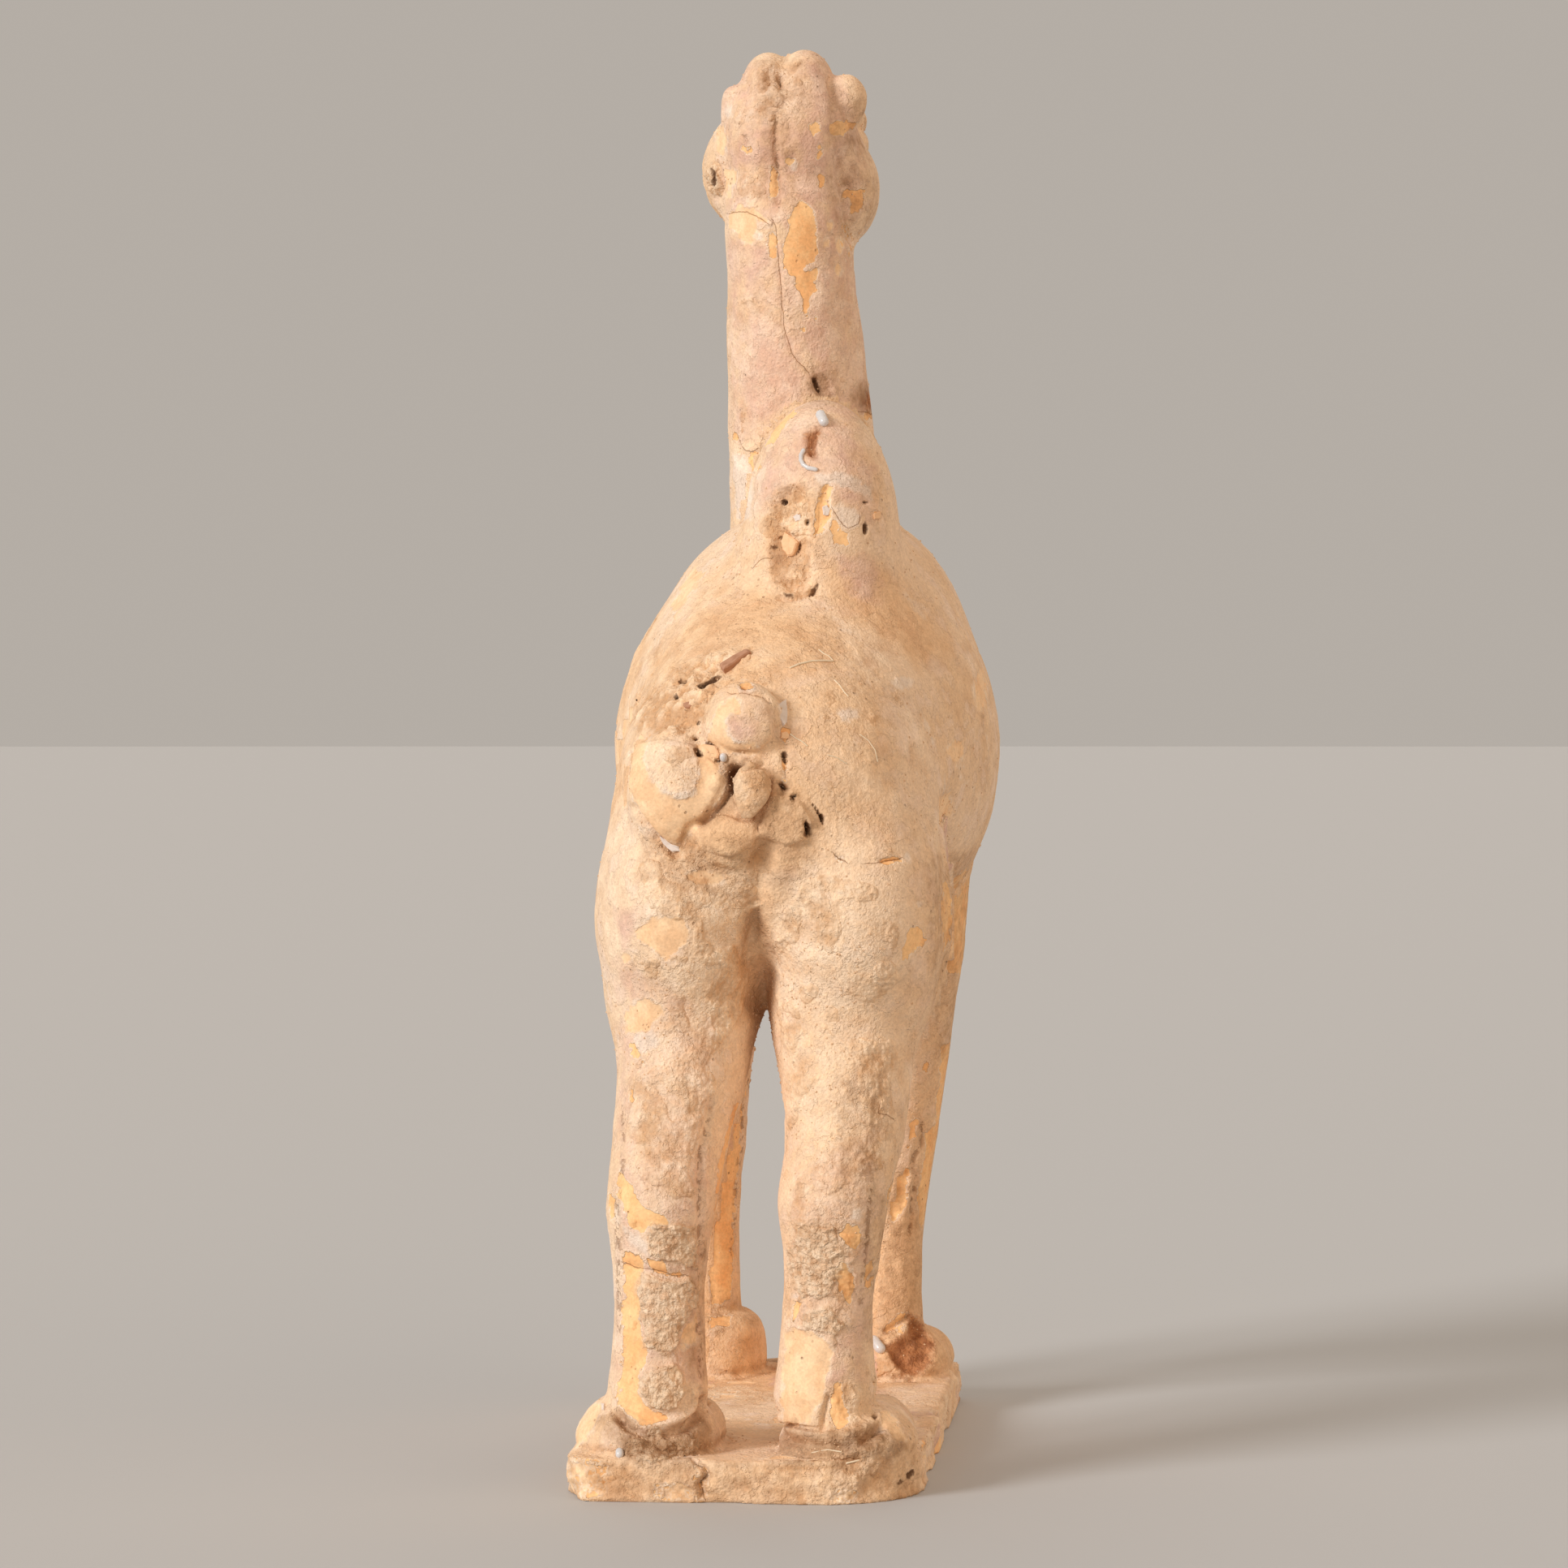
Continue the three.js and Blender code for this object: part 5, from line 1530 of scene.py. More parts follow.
@dataclass
class ClaySkin:
    """The clay's worked and worn surface, with the measures that its finish reads."""

    form: ClayForm
    view: Viewpoint
    net: SurfaceNet = field(default_factory=SurfaceNet)
    faces_wanted: int = 194_000
    seen_weight: float = 0.5
    seen_factor: float = 0.0001
    reach_mm: float = 12.0
    hidden_mm: float = 16.0
    narrow_mm: float = 1.45
    spreads: dict[Coat, Spread] = field(default_factory=lambda: SPREADS)
    corners: Array = field(init=False)
    quads: Array = field(init=False)
    depths: Array = field(init=False)

    def sight(self, p: Array, normals: Array) -> Sight:
        """How the photograph's viewpoint sees points on the skin."""
        return Sight.of(self.view, p, normals, self.depths)

    def carry(self, outline: Outline | Array) -> tuple[Array, Array]:
        """Carries an outline's corners onto the worked clay: points, and outward directions there."""
        columns, rows = corners_of(outline).T
        p = self.view.onto(self.form, columns, rows)
        normals = self.form.outward(p)
        return p + normals * self.relief(p, normals)[0], normals

    def measures(self, p: Array, sight: Sight) -> dict[Coat, Array]:
        """Works out how far each point is from the edge of each coat.

        Args:
            p: Points, three rows.
            sight: How they are seen.

        Returns:
            For each coat, distances in millimetres, above zero where it lies.
        """
        found = {}
        wander = rough_noise(p, 4.6, 97, 4)
        for coat, spread in self.spreads.items():
            measure = spread.scatter.distance(p) - self.hidden_mm * sight.seen
            for outline in spread.outlines.values():
                measure = np.maximum(measure, sight.distance(outline))
            for outline in spread.faint.values():
                measure = np.maximum(measure, np.minimum(sight.distance(outline), spread.faint_mm))
            found[coat] = measure + spread.wander_mm * wander
        pits = np.full(p.shape[1], -APART_MM)
        for path in PITS.values():
            pits = np.maximum(pits, sight.distance(path, closed=False))
        found[Coat.PITS] = pits
        crack = np.full(p.shape[1], -APART_MM)
        side = np.full(p.shape[1], self.reach_mm)
        for path in CRACKS.values():
            gap = sight.distance(path, closed=False)
            closer = gap > crack
            crack = np.where(closer, gap, crack)
            side = np.where(closer, sight.side(path), side)
        found[Coat.CRACK] = crack
        found[Coat.CRACK_SIDE] = side
        return {coat: np.clip(value, -self.reach_mm, self.reach_mm) for coat, value in found.items()}

    def relief(self, p: Array, normals: Array) -> tuple[Array, Array, dict[Coat, Array]]:
        """Height of the worked and worn surface over the smooth form.

        Args:
            p: Points, three rows.
            normals: Their outward directions, three rows.

        Returns:
            A height in millimetres for each point, how deep the tool strokes sink it, and the measures.
        """
        sight = self.sight(p, normals)
        found = self.measures(p, sight)
        height = 0.42 * lattice_noise(p, 34.0, 3) + 0.34 * lattice_noise(p, 14.0, 5)
        fine = 0.34 * rough_noise(p, 5.0, 7) * ramp(lattice_noise(p, 22.0, 8), -0.8, 0.3)
        soil = ramp(found[Coat.SOIL] + 3.0 * lattice_noise(p, 7.0, 9), -4.5, 4.5) * self.patchy(p)
        fine += laid(p, soil, lambda q: 0.8 * rough_noise(q, 6.0, 13, 4) + 0.4 * rough_noise(q, 2.4, 17, 2))
        crust = ramp(found[Coat.CRUST], -0.6, 1.2)
        fine += laid(p, crust, lambda q: 0.45 * rough_noise(q, 4.2, 29, 2) + 0.5 * pebbles(q, 2.1, 31) - 0.3)
        fine += laid(p, self.rubble(sight), self.crumbled)
        broken = ramp(found[Coat.BREAK], -0.4, 0.8)
        fine += laid(p, broken, lambda q: 0.6 * rough_noise(q, 3.6, 43) + 0.4 * pebbles(q, 2.4, 44) - 0.4)
        height += fine
        bare = ramp(np.maximum(found[Coat.BARE], found[Coat.VEILED]), -0.3, 0.5)
        found[Coat.FINE] = fine * (1.0 - bare)
        height = height * (1.0 - 0.5 * bare) - 0.2 * bare
        sunk = np.zeros(p.shape[1])
        well_seen = ramp(sight.seen, 0.1, 0.8)
        for stroke in STROKES.values():
            step = stroke.lift(sight.distance(stroke.outline, stroke.closed)) * well_seen
            height += step
            if stroke.edge < self.narrow_mm:
                sunk -= np.minimum(step, 0.0)
        slab = 1.0 - ramp(p[2], 11.0, 16.0)
        height += laid(p, slab, lambda q: 0.55 * rough_noise(q, 9.0, 47) + 0.2 * pebbles(q, 3.0, 48) - 0.4)
        edge = slab * (1.0 - ramp(normals[2], 0.3, 0.8))
        worn = laid(p, edge, lambda q: 1.1 * rough_noise(q, 6.0, 49, 4))
        found[Coat.FINE] = found[Coat.FINE] + worn
        height += worn - 0.4 * edge
        height -= 1.3 * ramp(found[Coat.HOLE], -0.1, 0.8) * well_seen
        return height * ramp(p[2], 0.2, 2.5), sunk, found

    @staticmethod
    def crumbled(p: Array) -> Array:
        """Height of crumbled lumps, large and small, with gaps between them."""
        return 1.3 * rough_noise(p, 6.5, 91, 4) + 1.1 * pebbles(p, 3.4, 94) + 0.7 * pebbles(p, 1.7, 95) - 1.1

    @staticmethod
    def rubble(sight: Sight) -> Array:
        """How much each point lies among crumbled lumps, from 0 to 1."""
        cover = np.zeros(len(sight.columns))
        for outline, full in RUBBLE.values():
            cover = np.maximum(cover, full * ramp(sight.distance(outline), -1.0, 3.0))
        return cover

    @staticmethod
    def patchy(p: Array) -> Array:
        """How thick the rough earth lies from patch to patch, from 0.2 to 1."""
        return 0.2 + 0.8 * ramp(lattice_noise(p, 13.0, 10) + 0.5 * lattice_noise(p, 5.5, 12), -0.55, 0.5)

    def make_mesh(self) -> bpy.types.Mesh:
        """Makes the skin: a net over the form, made finer, laid on the form and worked."""
        corners, self.quads = self.net.make(self.form.distance)
        self.corners = self.form.settle(corners, 2)
        self.depths = Sight.nearest(self.view, self.corners)
        mesh = subdivided(self.corners, self.quads, 1)
        points, normals = mesh_arrays(mesh)
        points = self.form.settle(points, 1)
        seen = self.sight(points, normals).seen
        points = points + normals * self.relief(points, normals)[0]
        points[2] = np.maximum(points[2], 0.0)
        set_points(mesh, points)
        worked = placed("worked_clay", mesh)
        hidden = worked.vertex_groups.new(name="hidden")
        hidden.add(np.nonzero(seen < 0.5)[0].tolist(), 1.0, "REPLACE")
        hidden.add(np.nonzero(seen >= 0.5)[0].tolist(), self.seen_weight, "REPLACE")
        log.info("seen corners: %d of %d", (seen >= 0.5).sum(), len(seen))
        fewer = worked.modifiers.new("fewer", "DECIMATE")
        fewer.vertex_group = hidden.name
        fewer.vertex_group_factor = self.seen_factor
        fewer.ratio = self.faces_wanted / (2.0 * len(mesh.polygons))
        result = finished_mesh(worked)
        bpy.data.objects.remove(worked)
        return result

    def add_measures(
        self, mesh: bpy.types.Mesh, points: Array, normals: Array, sunk: Array, found: dict[Coat, Array]
    ) -> None:
        """Gives a mesh the measures that the finish reads.

        Args:
            mesh: The mesh.
            points: Its corners, three rows.
            normals: Their outward directions, three rows.
            sunk: How deep the tool strokes sink each corner.
            found: The measures of its coats.
        """
        for coat, values in found.items():
            add_measure(mesh, coat.value, values)
        hollow = self.hollow(points, normals)
        add_measure(mesh, "hollow", hollow)
        add_measure(mesh, "sunk_mm", sunk)
        soil = ramp(found[Coat.SOIL], -0.5, 2.0)
        crust = ramp(found[Coat.CRUST], -0.2, 0.6)
        thick = 0.2 * soil + 0.5 * crust + 0.5 * hollow + 0.5 * ramp(sunk, 1.0, 3.0)
        add_measure(mesh, "grains", np.clip(thick * ramp(points[2], 1.0, 3.0), 0.0, 1.0))

    def hollow(self, p: Array, normals: Array, reach: float = 7.0) -> Array:
        """How deep each point sits in a corner of the form, from 0 in the open to 1."""
        out = self.form.distance(p + normals * reach)
        return np.clip((reach - out) / reach, 0.0, 1.0)

    def build(self, finish: "SlippedTerracotta") -> bpy.types.Object:
        """Builds the clay with its finish and its measures.

        Args:
            finish: The finish that covers it.

        Returns:
            The clay's object.
        """
        mesh = self.make_mesh()
        mesh.name = "camel_clay"
        clay = placed("camel_clay", mesh)
        points, normals = mesh_arrays(mesh)
        foot = self.form.settle(points, 2, 3.0)
        _, sunk, found = self.relief(foot, self.form.outward(foot))
        self.add_measures(mesh, points, normals, sunk, found)
        mesh.materials.append(finish.make())
        shade_smooth(mesh)
        return clay


@dataclass
class EarthCoat:
    """Dry earth on the clay, in a few bands, thin at its edges, where it dips under the clay's skin."""

    skin: ClaySkin
    bands: dict[str, tuple[float, float]] = field(
        default_factory=lambda: {
            "earth_on_shins": (0.0, 92.0),
            "earth_on_hocks": (92.0, 134.0),
            "earth_on_thighs": (134.0, 178.0),
            "earth_on_body": (178.0, 500.0),
        }
    )
    margin_mm: float = 2.2
    thick_mm: float = 0.10
    dip_mm: float = 0.7
    levels: int = 2

    def build(self, finish: "SlippedTerracotta") -> list[bpy.types.Object]:
        """Builds the coat on the net of the clay's skin.

        Args:
            finish: The finish that covers it.

        Returns:
            One object for each band.
        """
        corners, quads = self.skin.corners, self.skin.quads
        middles = corners[:, quads].mean(2)
        slope = self.skin.form.slope(middles)
        sight = self.skin.sight(middles, unit(slope))
        near = np.nonzero(sight.seen > 0.05)[0]
        found = self.skin.measures(middles[:, near], self.skin.sight(middles[:, near], slope[:, near]))
        kept = near[np.maximum(found[Coat.SOIL], found[Coat.CRUST]) > -self.margin_mm]
        material = finish.make()
        pieces = []
        for name, (low, high) in self.bands.items():
            band = kept[(middles[2, kept] >= low) & (middles[2, kept] < high)]
            pieces.append(self.build_band(name, quads[band], material))
        return pieces

    def build_band(self, name: str, quads: Array, material: bpy.types.Material) -> bpy.types.Object:
        """Builds one band of the coat.

        Args:
            name: The band's name.
            quads: Its quads of the skin's net.
            material: The material that covers it.

        Returns:
            The band's object.
        """
        used, faces = np.unique(quads, return_inverse=True)
        mesh = subdivided(self.skin.corners[:, used], faces.reshape(-1, 4), self.levels)
        points, normals = mesh_arrays(mesh)
        sides = np.zeros(len(mesh.loops), np.int64)
        mesh.loops.foreach_get("vertex_index", sides)
        bpy.data.meshes.remove(mesh)
        points = self.skin.form.settle(points, 1)
        height, sunk, found = self.skin.relief(points, normals)
        cover, lumps = self.lie(points, self.skin.sight(points, normals), found)
        found[Coat.FINE] = found[Coat.FINE] + cover * (lumps - 0.5)
        height += cover * (self.thick_mm + lumps) - (1.0 - cover) * self.dip_mm
        points = points + normals * height
        points[2] = np.maximum(points[2], 0.05)
        sides = sides.reshape(-1, 4)
        sides = sides[(cover[sides] > 0.03).any(1)]
        used, faces = np.unique(sides, return_inverse=True)
        coat = new_object(name, points[:, used], faces.reshape(-1, 4))
        found = {kind: values[used] for kind, values in found.items()}
        self.skin.add_measures(coat.data, points[:, used], normals[:, used], sunk[used], found)
        coat.data.materials.append(material)
        shade_smooth(coat.data)
        return coat

    def lie(self, p: Array, sight: Sight, found: dict[Coat, Array]) -> tuple[Array, Array]:
        """How the earth lies.

        Args:
            p: Points, three rows.
            sight: How they are seen.
            found: The measures of the coats there.

        Returns:
            Its cover, from 0 to 1, and the height of its lumps in millimetres.
        """
        wander = 0.9 * rough_noise(p, 2.6, 61) + 1.4 * lattice_noise(p, 6.0, 62)
        patchy = self.skin.patchy(p)
        soil = ramp(found[Coat.SOIL] + 1.4 * wander, -0.8, 1.8) * ramp(patchy + 0.3 * wander, 0.15, 0.75)
        crust = ramp(found[Coat.CRUST] + 0.4 * wander, -0.3, 0.7)
        cover = np.maximum(soil, crust) * ramp(sight.seen + 0.2 * wander, 0.3, 0.9)
        crumbs = 0.40 * pebbles(p, 1.5, 65) + 0.30 * pebbles(p, 0.95, 66) + 0.30 * rough_noise(p, 3.2, 67, 3)
        lumps = crumbs * (0.5 + 0.8 * np.maximum(crust, 0.5 * patchy)) + 0.35 * crust * pebbles(p, 2.6, 68)
        return cover, lumps


def linear(colour: str) -> Colour:
    """Turns an sRGB hex colour into linear red, green, blue and an alpha of 1.

    Args:
        colour: Six hex digits.

    Returns:
        The linear colour.
    """
    parts = [int(colour[i : i + 2], 16) / 255.0 for i in (0, 2, 4)]
    return tuple(c / 12.92 if c <= 0.04045 else ((c + 0.055) / 1.055) ** 2.4 for c in parts) + (1.0,)


SMOOTH = {"interpolation_type": "SMOOTHSTEP"}
TIMES = {"operation": "MULTIPLY"}
TIMES_PLUS = {"operation": "MULTIPLY_ADD"}
PLUS = {"operation": "ADD"}
COLOURS = {"data_type": "RGBA"}
TINTS = {"data_type": "RGBA", "blend_type": "MULTIPLY"}
NUMBERS = {"data_type": "FLOAT"}
VECTORS = {"data_type": "FLOAT_VECTOR"}


def add(tree: Tree, kind: str, settings: dict | None = None, links: dict | None = None) -> bpy.types.Node:
    """Adds a node to a tree.

    Args:
        tree: The tree.
        kind: Name of the node's type.
        settings: Properties to set on the node.
        links: For each input, by name or number, the socket that feeds it or the value it holds.

    Returns:
        The node.
    """
    node = tree.nodes.new(kind)
    for name, value in (settings or {}).items():
        setattr(node, name, value)
    for key, source in (links or {}).items():
        if isinstance(source, Socket):
            tree.links.new(source, node.inputs[key])
        else:
            node.inputs[key].default_value = source
    return node


def new_material(name: str) -> tuple[bpy.types.Material, Tree, bpy.types.Node]:
    """Makes an empty material.

    Args:
        name: The material's name.

    Returns:
        The material, its tree, and its shader, already joined to the output.
    """
    material = bpy.data.materials.new(name)
    material.use_nodes = True
    tree = material.node_tree
    tree.nodes.clear()
    shader = add(tree, "ShaderNodeBsdfPrincipled")
    add(tree, "ShaderNodeOutputMaterial", links={"Surface": shader.outputs["BSDF"]})
    return material, tree, shader


@dataclass(frozen=True)
class Layer:
    """One coat of the clay's finish: its colours, the edge it ends in, and how it stands up."""

    coat: Coat
    colour: str
    second: str
    grain_mm: float
    ragged_mm: float
    soft_mm: float
    cover: float
    lift_mm: float
    roughness: float
    inset_mm: float = 0.0
    crumb: float = 0.0
    smooth: bool = False


@dataclass(frozen=True)
class SlippedTerracotta:
    """Low-fired terracotta under worn white slip, mauve colour and a coat of fine dry dust.

    Dust scatters light with no sheen at all. Bare clay is smoother and a stronger orange, and its
    flaked edges show the white slip as a thin line.
    """

    name: str = "slipped_terracotta"
    dust: str = "F4D8B9"
    dust_deep: str = "ECCAA4"
    slip_tint: str = "F2DAC6"
    # Painted shade, laid in the corners of the form.
    grime: str = "A87C56"
    # Painted shade in the small pits and pores.
    pit_shade: str = "8A6244"
    crack: str = "9C6A42"
    # Painted shade in the deepest tool strokes.
    stroke_shade: str = "5E3A22"
    bloom: str = "F8E8D6"
    # Painted shade in the gaps of the relief, and painted light on its crests.
    gap_shade: str = "E6D4C2"
    crest_light: Colour = (1.1, 1.1, 1.1, 1.0)
    ground_terrace_mm: float = 0.16
    flake_terrace_mm: float = 0.03
    grain_mm: float = 0.30
    fleck_mm: float = 0.46
    even_mm: float = 0.38
    pore_gap_mm: float = 3.0
    layers: tuple[Layer, ...] = (
        # Deeper tan: loess, and painted shade over the legs and the sheltered places.
        Layer(Coat.TAN, "EBC296", "E2B484", 7.0, 4.0, 5.0, 0.75, 0.0, 0.95),
        Layer(Coat.MAUVE, "DCB4A2", "EDCDB8", 6.0, 4.0, 3.2, 0.8, 0.0, 0.9),
        Layer(Coat.SOIL, "F8DEC0", "F0D0AC", 3.4, 3.2, 4.0, 0.5, 0.0, 0.95, 0.0, 0.55),
        Layer(Coat.FILM, "F5E6D6", "EAD8C8", 2.4, 1.4, 0.8, 0.7, 0.04, 0.85),
        Layer(Coat.VEILED, "F9EAD6", "F2DAC0", 3.6, 1.8, 0.6, 0.5, -0.03, 0.85, -0.30),
        Layer(Coat.VEILED, "FCD8AC", "F4C898", 3.6, 1.8, 0.5, 0.85, -0.12, 0.8, smooth=True),
        Layer(Coat.BARE, "FBEAD6", "F2D6B6", 2.8, 1.6, 0.16, 0.7, -0.04, 0.85, -0.28),
        Layer(Coat.BARE, "FFCF92", "F8BC7C", 2.8, 1.6, 0.18, 0.9, -0.22, 0.66, smooth=True),
        Layer(Coat.CRUST, "EED2B2", "D8B490", 1.6, 1.2, 1.2, 0.8, 0.1, 0.97, 0.0, 0.75),
        # Brown painted shade with some dirt, in the corners and the sheltered places.
        Layer(Coat.GRIME, "B08864", "906A48", 3.0, 3.0, 3.0, 0.72, 0.0, 0.95, 0.0, 0.5),
        Layer(Coat.BREAK, "C88C60", "A06844", 2.2, 1.2, 1.3, 0.9, 0.0, 0.95, 0.0, 0.7),
        # Painted shade inside the holes and slots.
        Layer(Coat.HOLE, "6E4A30", "4E3220", 1.2, 0.4, 0.3, 0.9, -0.3, 0.97),
    )

    def make(self) -> bpy.types.Material:
        """Makes the material."""
        material, tree, shader = new_material(self.name)
        place = add(tree, "ShaderNodeTexCoord").outputs["Object"]
        noise = self.noises(tree, place)
        washes = (
            (noise["cloud"], 0.42, 0.68, 0.9, self.dust_deep),
            (noise["patch"], 0.48, 0.66, 0.6, self.slip_tint),
            (noise["bloom"], 0.60, 0.70, 0.6, self.bloom),
        )
        colour = self.washed(tree, linear(self.dust), washes)
        height, rough = self.ground_height(tree, noise), 0.93
        for number, layer in enumerate(self.layers):
            mask, tone = self.layer_mask(tree, place, layer, number, noise)
            colour = add(tree, "ShaderNodeMix", COLOURS, {0: mask, 6: colour, 7: tone}).outputs[2]
            if layer.smooth:
                links = {0: mask, 2: height, 3: self.even_mm + layer.lift_mm}
                height = add(tree, "ShaderNodeMix", NUMBERS, links).outputs[0]
            else:
                links = {0: mask, 1: layer.lift_mm, 2: height}
                height = add(tree, "ShaderNodeMath", TIMES_PLUS, links).outputs[0]
            if layer.crumb:
                bumps = add(tree, "ShaderNodeMath", TIMES, {0: noise["crumb"], 1: mask})
                links = {0: bumps.outputs[0], 1: layer.crumb, 2: height}
                height = add(tree, "ShaderNodeMath", TIMES_PLUS, links).outputs[0]
            links = {0: mask, 2: rough, 3: layer.roughness}
            rough = add(tree, "ShaderNodeMix", NUMBERS, links).outputs[0]
        colour, height = self.marks(tree, place, noise, colour, height)
        bump = add(tree, "ShaderNodeBump", links={"Strength": 1.0, "Distance": MM, "Height": height})
        for socket, source in (("Base Color", colour), ("Roughness", rough), ("Normal", bump.outputs[0])):
            tree.links.new(source, shader.inputs[socket])
        shader.inputs["Specular IOR Level"].default_value = 0.25
        return material

    @staticmethod
    def noises(tree: Tree, place: Socket) -> dict[str, Socket]:
        """The noises that all coats share, from the size of a hand down to that of sand."""
        noise = {}
        for name, size_mm, detail, fine in (
            ("cloud", 34.0, 2.0, 0.5),
            ("bloom", 17.0, 6.0, 0.66),
            ("patch", 9.0, 5.0, 0.62),
            ("fleck", 2.4, 4.0, 0.62),
            ("sand", 0.8, 2.0, 0.6),
        ):
            links = {"Vector": place, "Scale": 1.0 / (size_mm * MM), "Detail": detail, "Roughness": fine}
            noise[name] = add(tree, "ShaderNodeTexNoise", links=links).outputs["Fac"]
        crumbs = add(tree, "ShaderNodeMath", TIMES, {0: noise["fleck"], 1: 1.3}).outputs[0]
        for size_mm, deep_mm in ((1.4, 0.5), (0.75, 0.25)):
            cells = add(tree, "ShaderNodeTexVoronoi", links={"Vector": place, "Scale": 1.0 / (size_mm * MM)})
            links = {0: cells.outputs["Distance"], 1: -deep_mm, 2: crumbs}
            crumbs = add(tree, "ShaderNodeMath", TIMES_PLUS, links).outputs[0]
        noise["crumb"] = crumbs
        return noise

    @staticmethod
    def washed(tree: Tree, colour: Socket | Colour, washes: Sequence[Wash]) -> Socket:
        """Lays thin washes of colour over one another.

        Args:
            tree: The material's tree.
            colour: Colour so far.
            washes: For each wash what it follows, where that starts and ends, its most, and its colour.

        Returns:
            The new colour.
        """
        for source, low, high, most, tint in washes:
            cover = add(tree, "ShaderNodeMapRange", SMOOTH, {0: source, 1: low, 2: high, 3: 0.0, 4: most})
            links = {0: cover.outputs[0], 6: colour, 7: linear(tint)}
            colour = add(tree, "ShaderNodeMix", COLOURS, links).outputs[2]
        return colour

    def ground_height(self, tree: Tree, noise: dict[str, Socket]) -> Socket:
        """Height of the dust coat in millimetres: grain and flecks, and thin flakes with steep rims."""
        height = 0.0
        for name, high_mm in (("sand", self.grain_mm), ("fleck", self.fleck_mm)):
            links = {0: noise[name], 1: high_mm, 2: height}
            height = add(tree, "ShaderNodeMath", TIMES_PLUS, links).outputs[0]
        terraces = (("patch", 0.52, self.ground_terrace_mm), ("fleck", 0.5, self.flake_terrace_mm))
        for name, edge, high_mm in terraces:
            links = {0: noise[name], 1: edge, 2: edge + 0.025, 3: 0.0, 4: high_mm}
            terrace = add(tree, "ShaderNodeMapRange", SMOOTH, links)
            height = add(tree, "ShaderNodeMath", PLUS, {0: terrace.outputs[0], 1: height}).outputs[0]
        return height

    def layer_mask(
        self, tree: Tree, place: Socket, layer: Layer, number: int, noise: dict[str, Socket]
    ) -> tuple[Socket, Socket]:
        """Where one coat lies, with its ragged edge, and its mottled colour.

        Args:
            tree: The material's tree.
            place: Object coordinates.
            layer: The coat.
            number: Its number, which shifts its noise from that of the others.
            noise: The noises shared by all.

        Returns:
            The sockets of its cover and its colour.
        """
        shift = 0.0 if layer.coat is Coat.BARE else 0.1 * number
        moved = add(tree, "ShaderNodeVectorMath", PLUS, {0: place, 1: (shift, shift, shift)}).outputs[0]
        links = {"Vector": moved, "Scale": 1.0 / (layer.grain_mm * MM), "Detail": 4.0, "Roughness": 0.55}
        edge = add(tree, "ShaderNodeTexNoise", links=links)
        measure = add(tree, "ShaderNodeAttribute", {"attribute_name": layer.coat.value})
        links = {0: edge.outputs["Fac"], 1: 2.6 * layer.ragged_mm, 2: measure.outputs["Fac"]}
        wander = add(tree, "ShaderNodeMath", TIMES_PLUS, links).outputs[0]
        middle = 1.3 * layer.ragged_mm + layer.inset_mm
        links = {0: wander, 1: middle - layer.soft_mm, 2: middle + layer.soft_mm, 3: 0.0, 4: layer.cover}
        mask = add(tree, "ShaderNodeMapRange", SMOOTH, links)
        grain = noise["fleck" if layer.crumb else "patch"]
        mottle = add(tree, "ShaderNodeMapRange", SMOOTH, {0: grain, 1: 0.42, 2: 0.62}).outputs[0]
        links = {0: mottle, 6: linear(layer.colour), 7: linear(layer.second)}
        tone = add(tree, "ShaderNodeMix", COLOURS, links)
        return mask.outputs[0], tone.outputs[2]

    def marks(
        self, tree: Tree, place: Socket, noise: dict[str, Socket], colour: Socket, height: Socket
    ) -> tuple[Socket, Socket]:
        """Lays painted shade in the corners and the deep tool strokes, pits and pores painted dark as
        painted shade, cracks, a sandy fleck, and painted shade in the gaps of the relief with painted light
        on its crests.

        Args:
            tree: The material's tree.
            place: Object coordinates.
            noise: The noises shared by all.
            colour: Colour so far.
            height: Height so far, in millimetres.

        Returns:
            The new colour and height.
        """
        hollow, sunk, pits, crack, crack_side, fine = (
            add(tree, "ShaderNodeAttribute", {"attribute_name": name}).outputs["Fac"]
            for name in ("hollow", "sunk_mm", "pits_mm", "crack_mm", "crack_side_mm", "fine_mm")
        )
        # Painted shade: a brown wash in the corners of the form and in the deep tool strokes.
        hollow_shade_cover = add(tree, "ShaderNodeMath", TIMES, {0: hollow, 1: noise["patch"]}).outputs[0]
        washes = ((hollow_shade_cover, 0.14, 0.5, 0.5, self.grime), (sunk, 1.1, 3.6, 0.7, self.stroke_shade))
        colour = self.washed(tree, colour, washes)
        links = {"Vector": place, "Scale": 1.0 / (self.pore_gap_mm * MM)}
        pore = add(tree, "ShaderNodeTexVoronoi", links=links).outputs["Distance"]
        waver = add(tree, "ShaderNodeMath", TIMES_PLUS, {0: noise["fleck"], 1: 1.0, 2: -0.5}).outputs[0]
        side = add(tree, "ShaderNodeMath", PLUS, {0: crack_side, 1: waver}).outputs[0]
        line = add(tree, "ShaderNodeMath", {"operation": "ABSOLUTE"}, {0: side}).outputs[0]
        along_seams = add(tree, "ShaderNodeMapRange", SMOOTH, {0: pits, 1: -1.3, 2: -0.1})
        gathered = add(tree, "ShaderNodeMapRange", links={0: noise["bloom"], 1: 0.5, 2: 0.62})
        on_cracks = add(tree, "ShaderNodeMapRange", SMOOTH, {0: crack, 1: -1.6, 2: -0.8})
        for source, low, high, at_low, at_high, where, tint, deep_mm in (
            # Pits along the seams and pores, painted dark as painted shade.
            (noise["fleck"], 0.52, 0.58, 0.05, 0.6, along_seams, self.pit_shade, 0.5),
            (pore, 0.07, 0.16, 0.55, 0.0, gathered, self.pit_shade, 0.5),
            (line, 0.0, 0.24, 0.7, 0.0, on_cracks, self.crack, 0.2),
        ):
            links = {0: source, 1: low, 2: high, 3: at_low, 4: at_high}
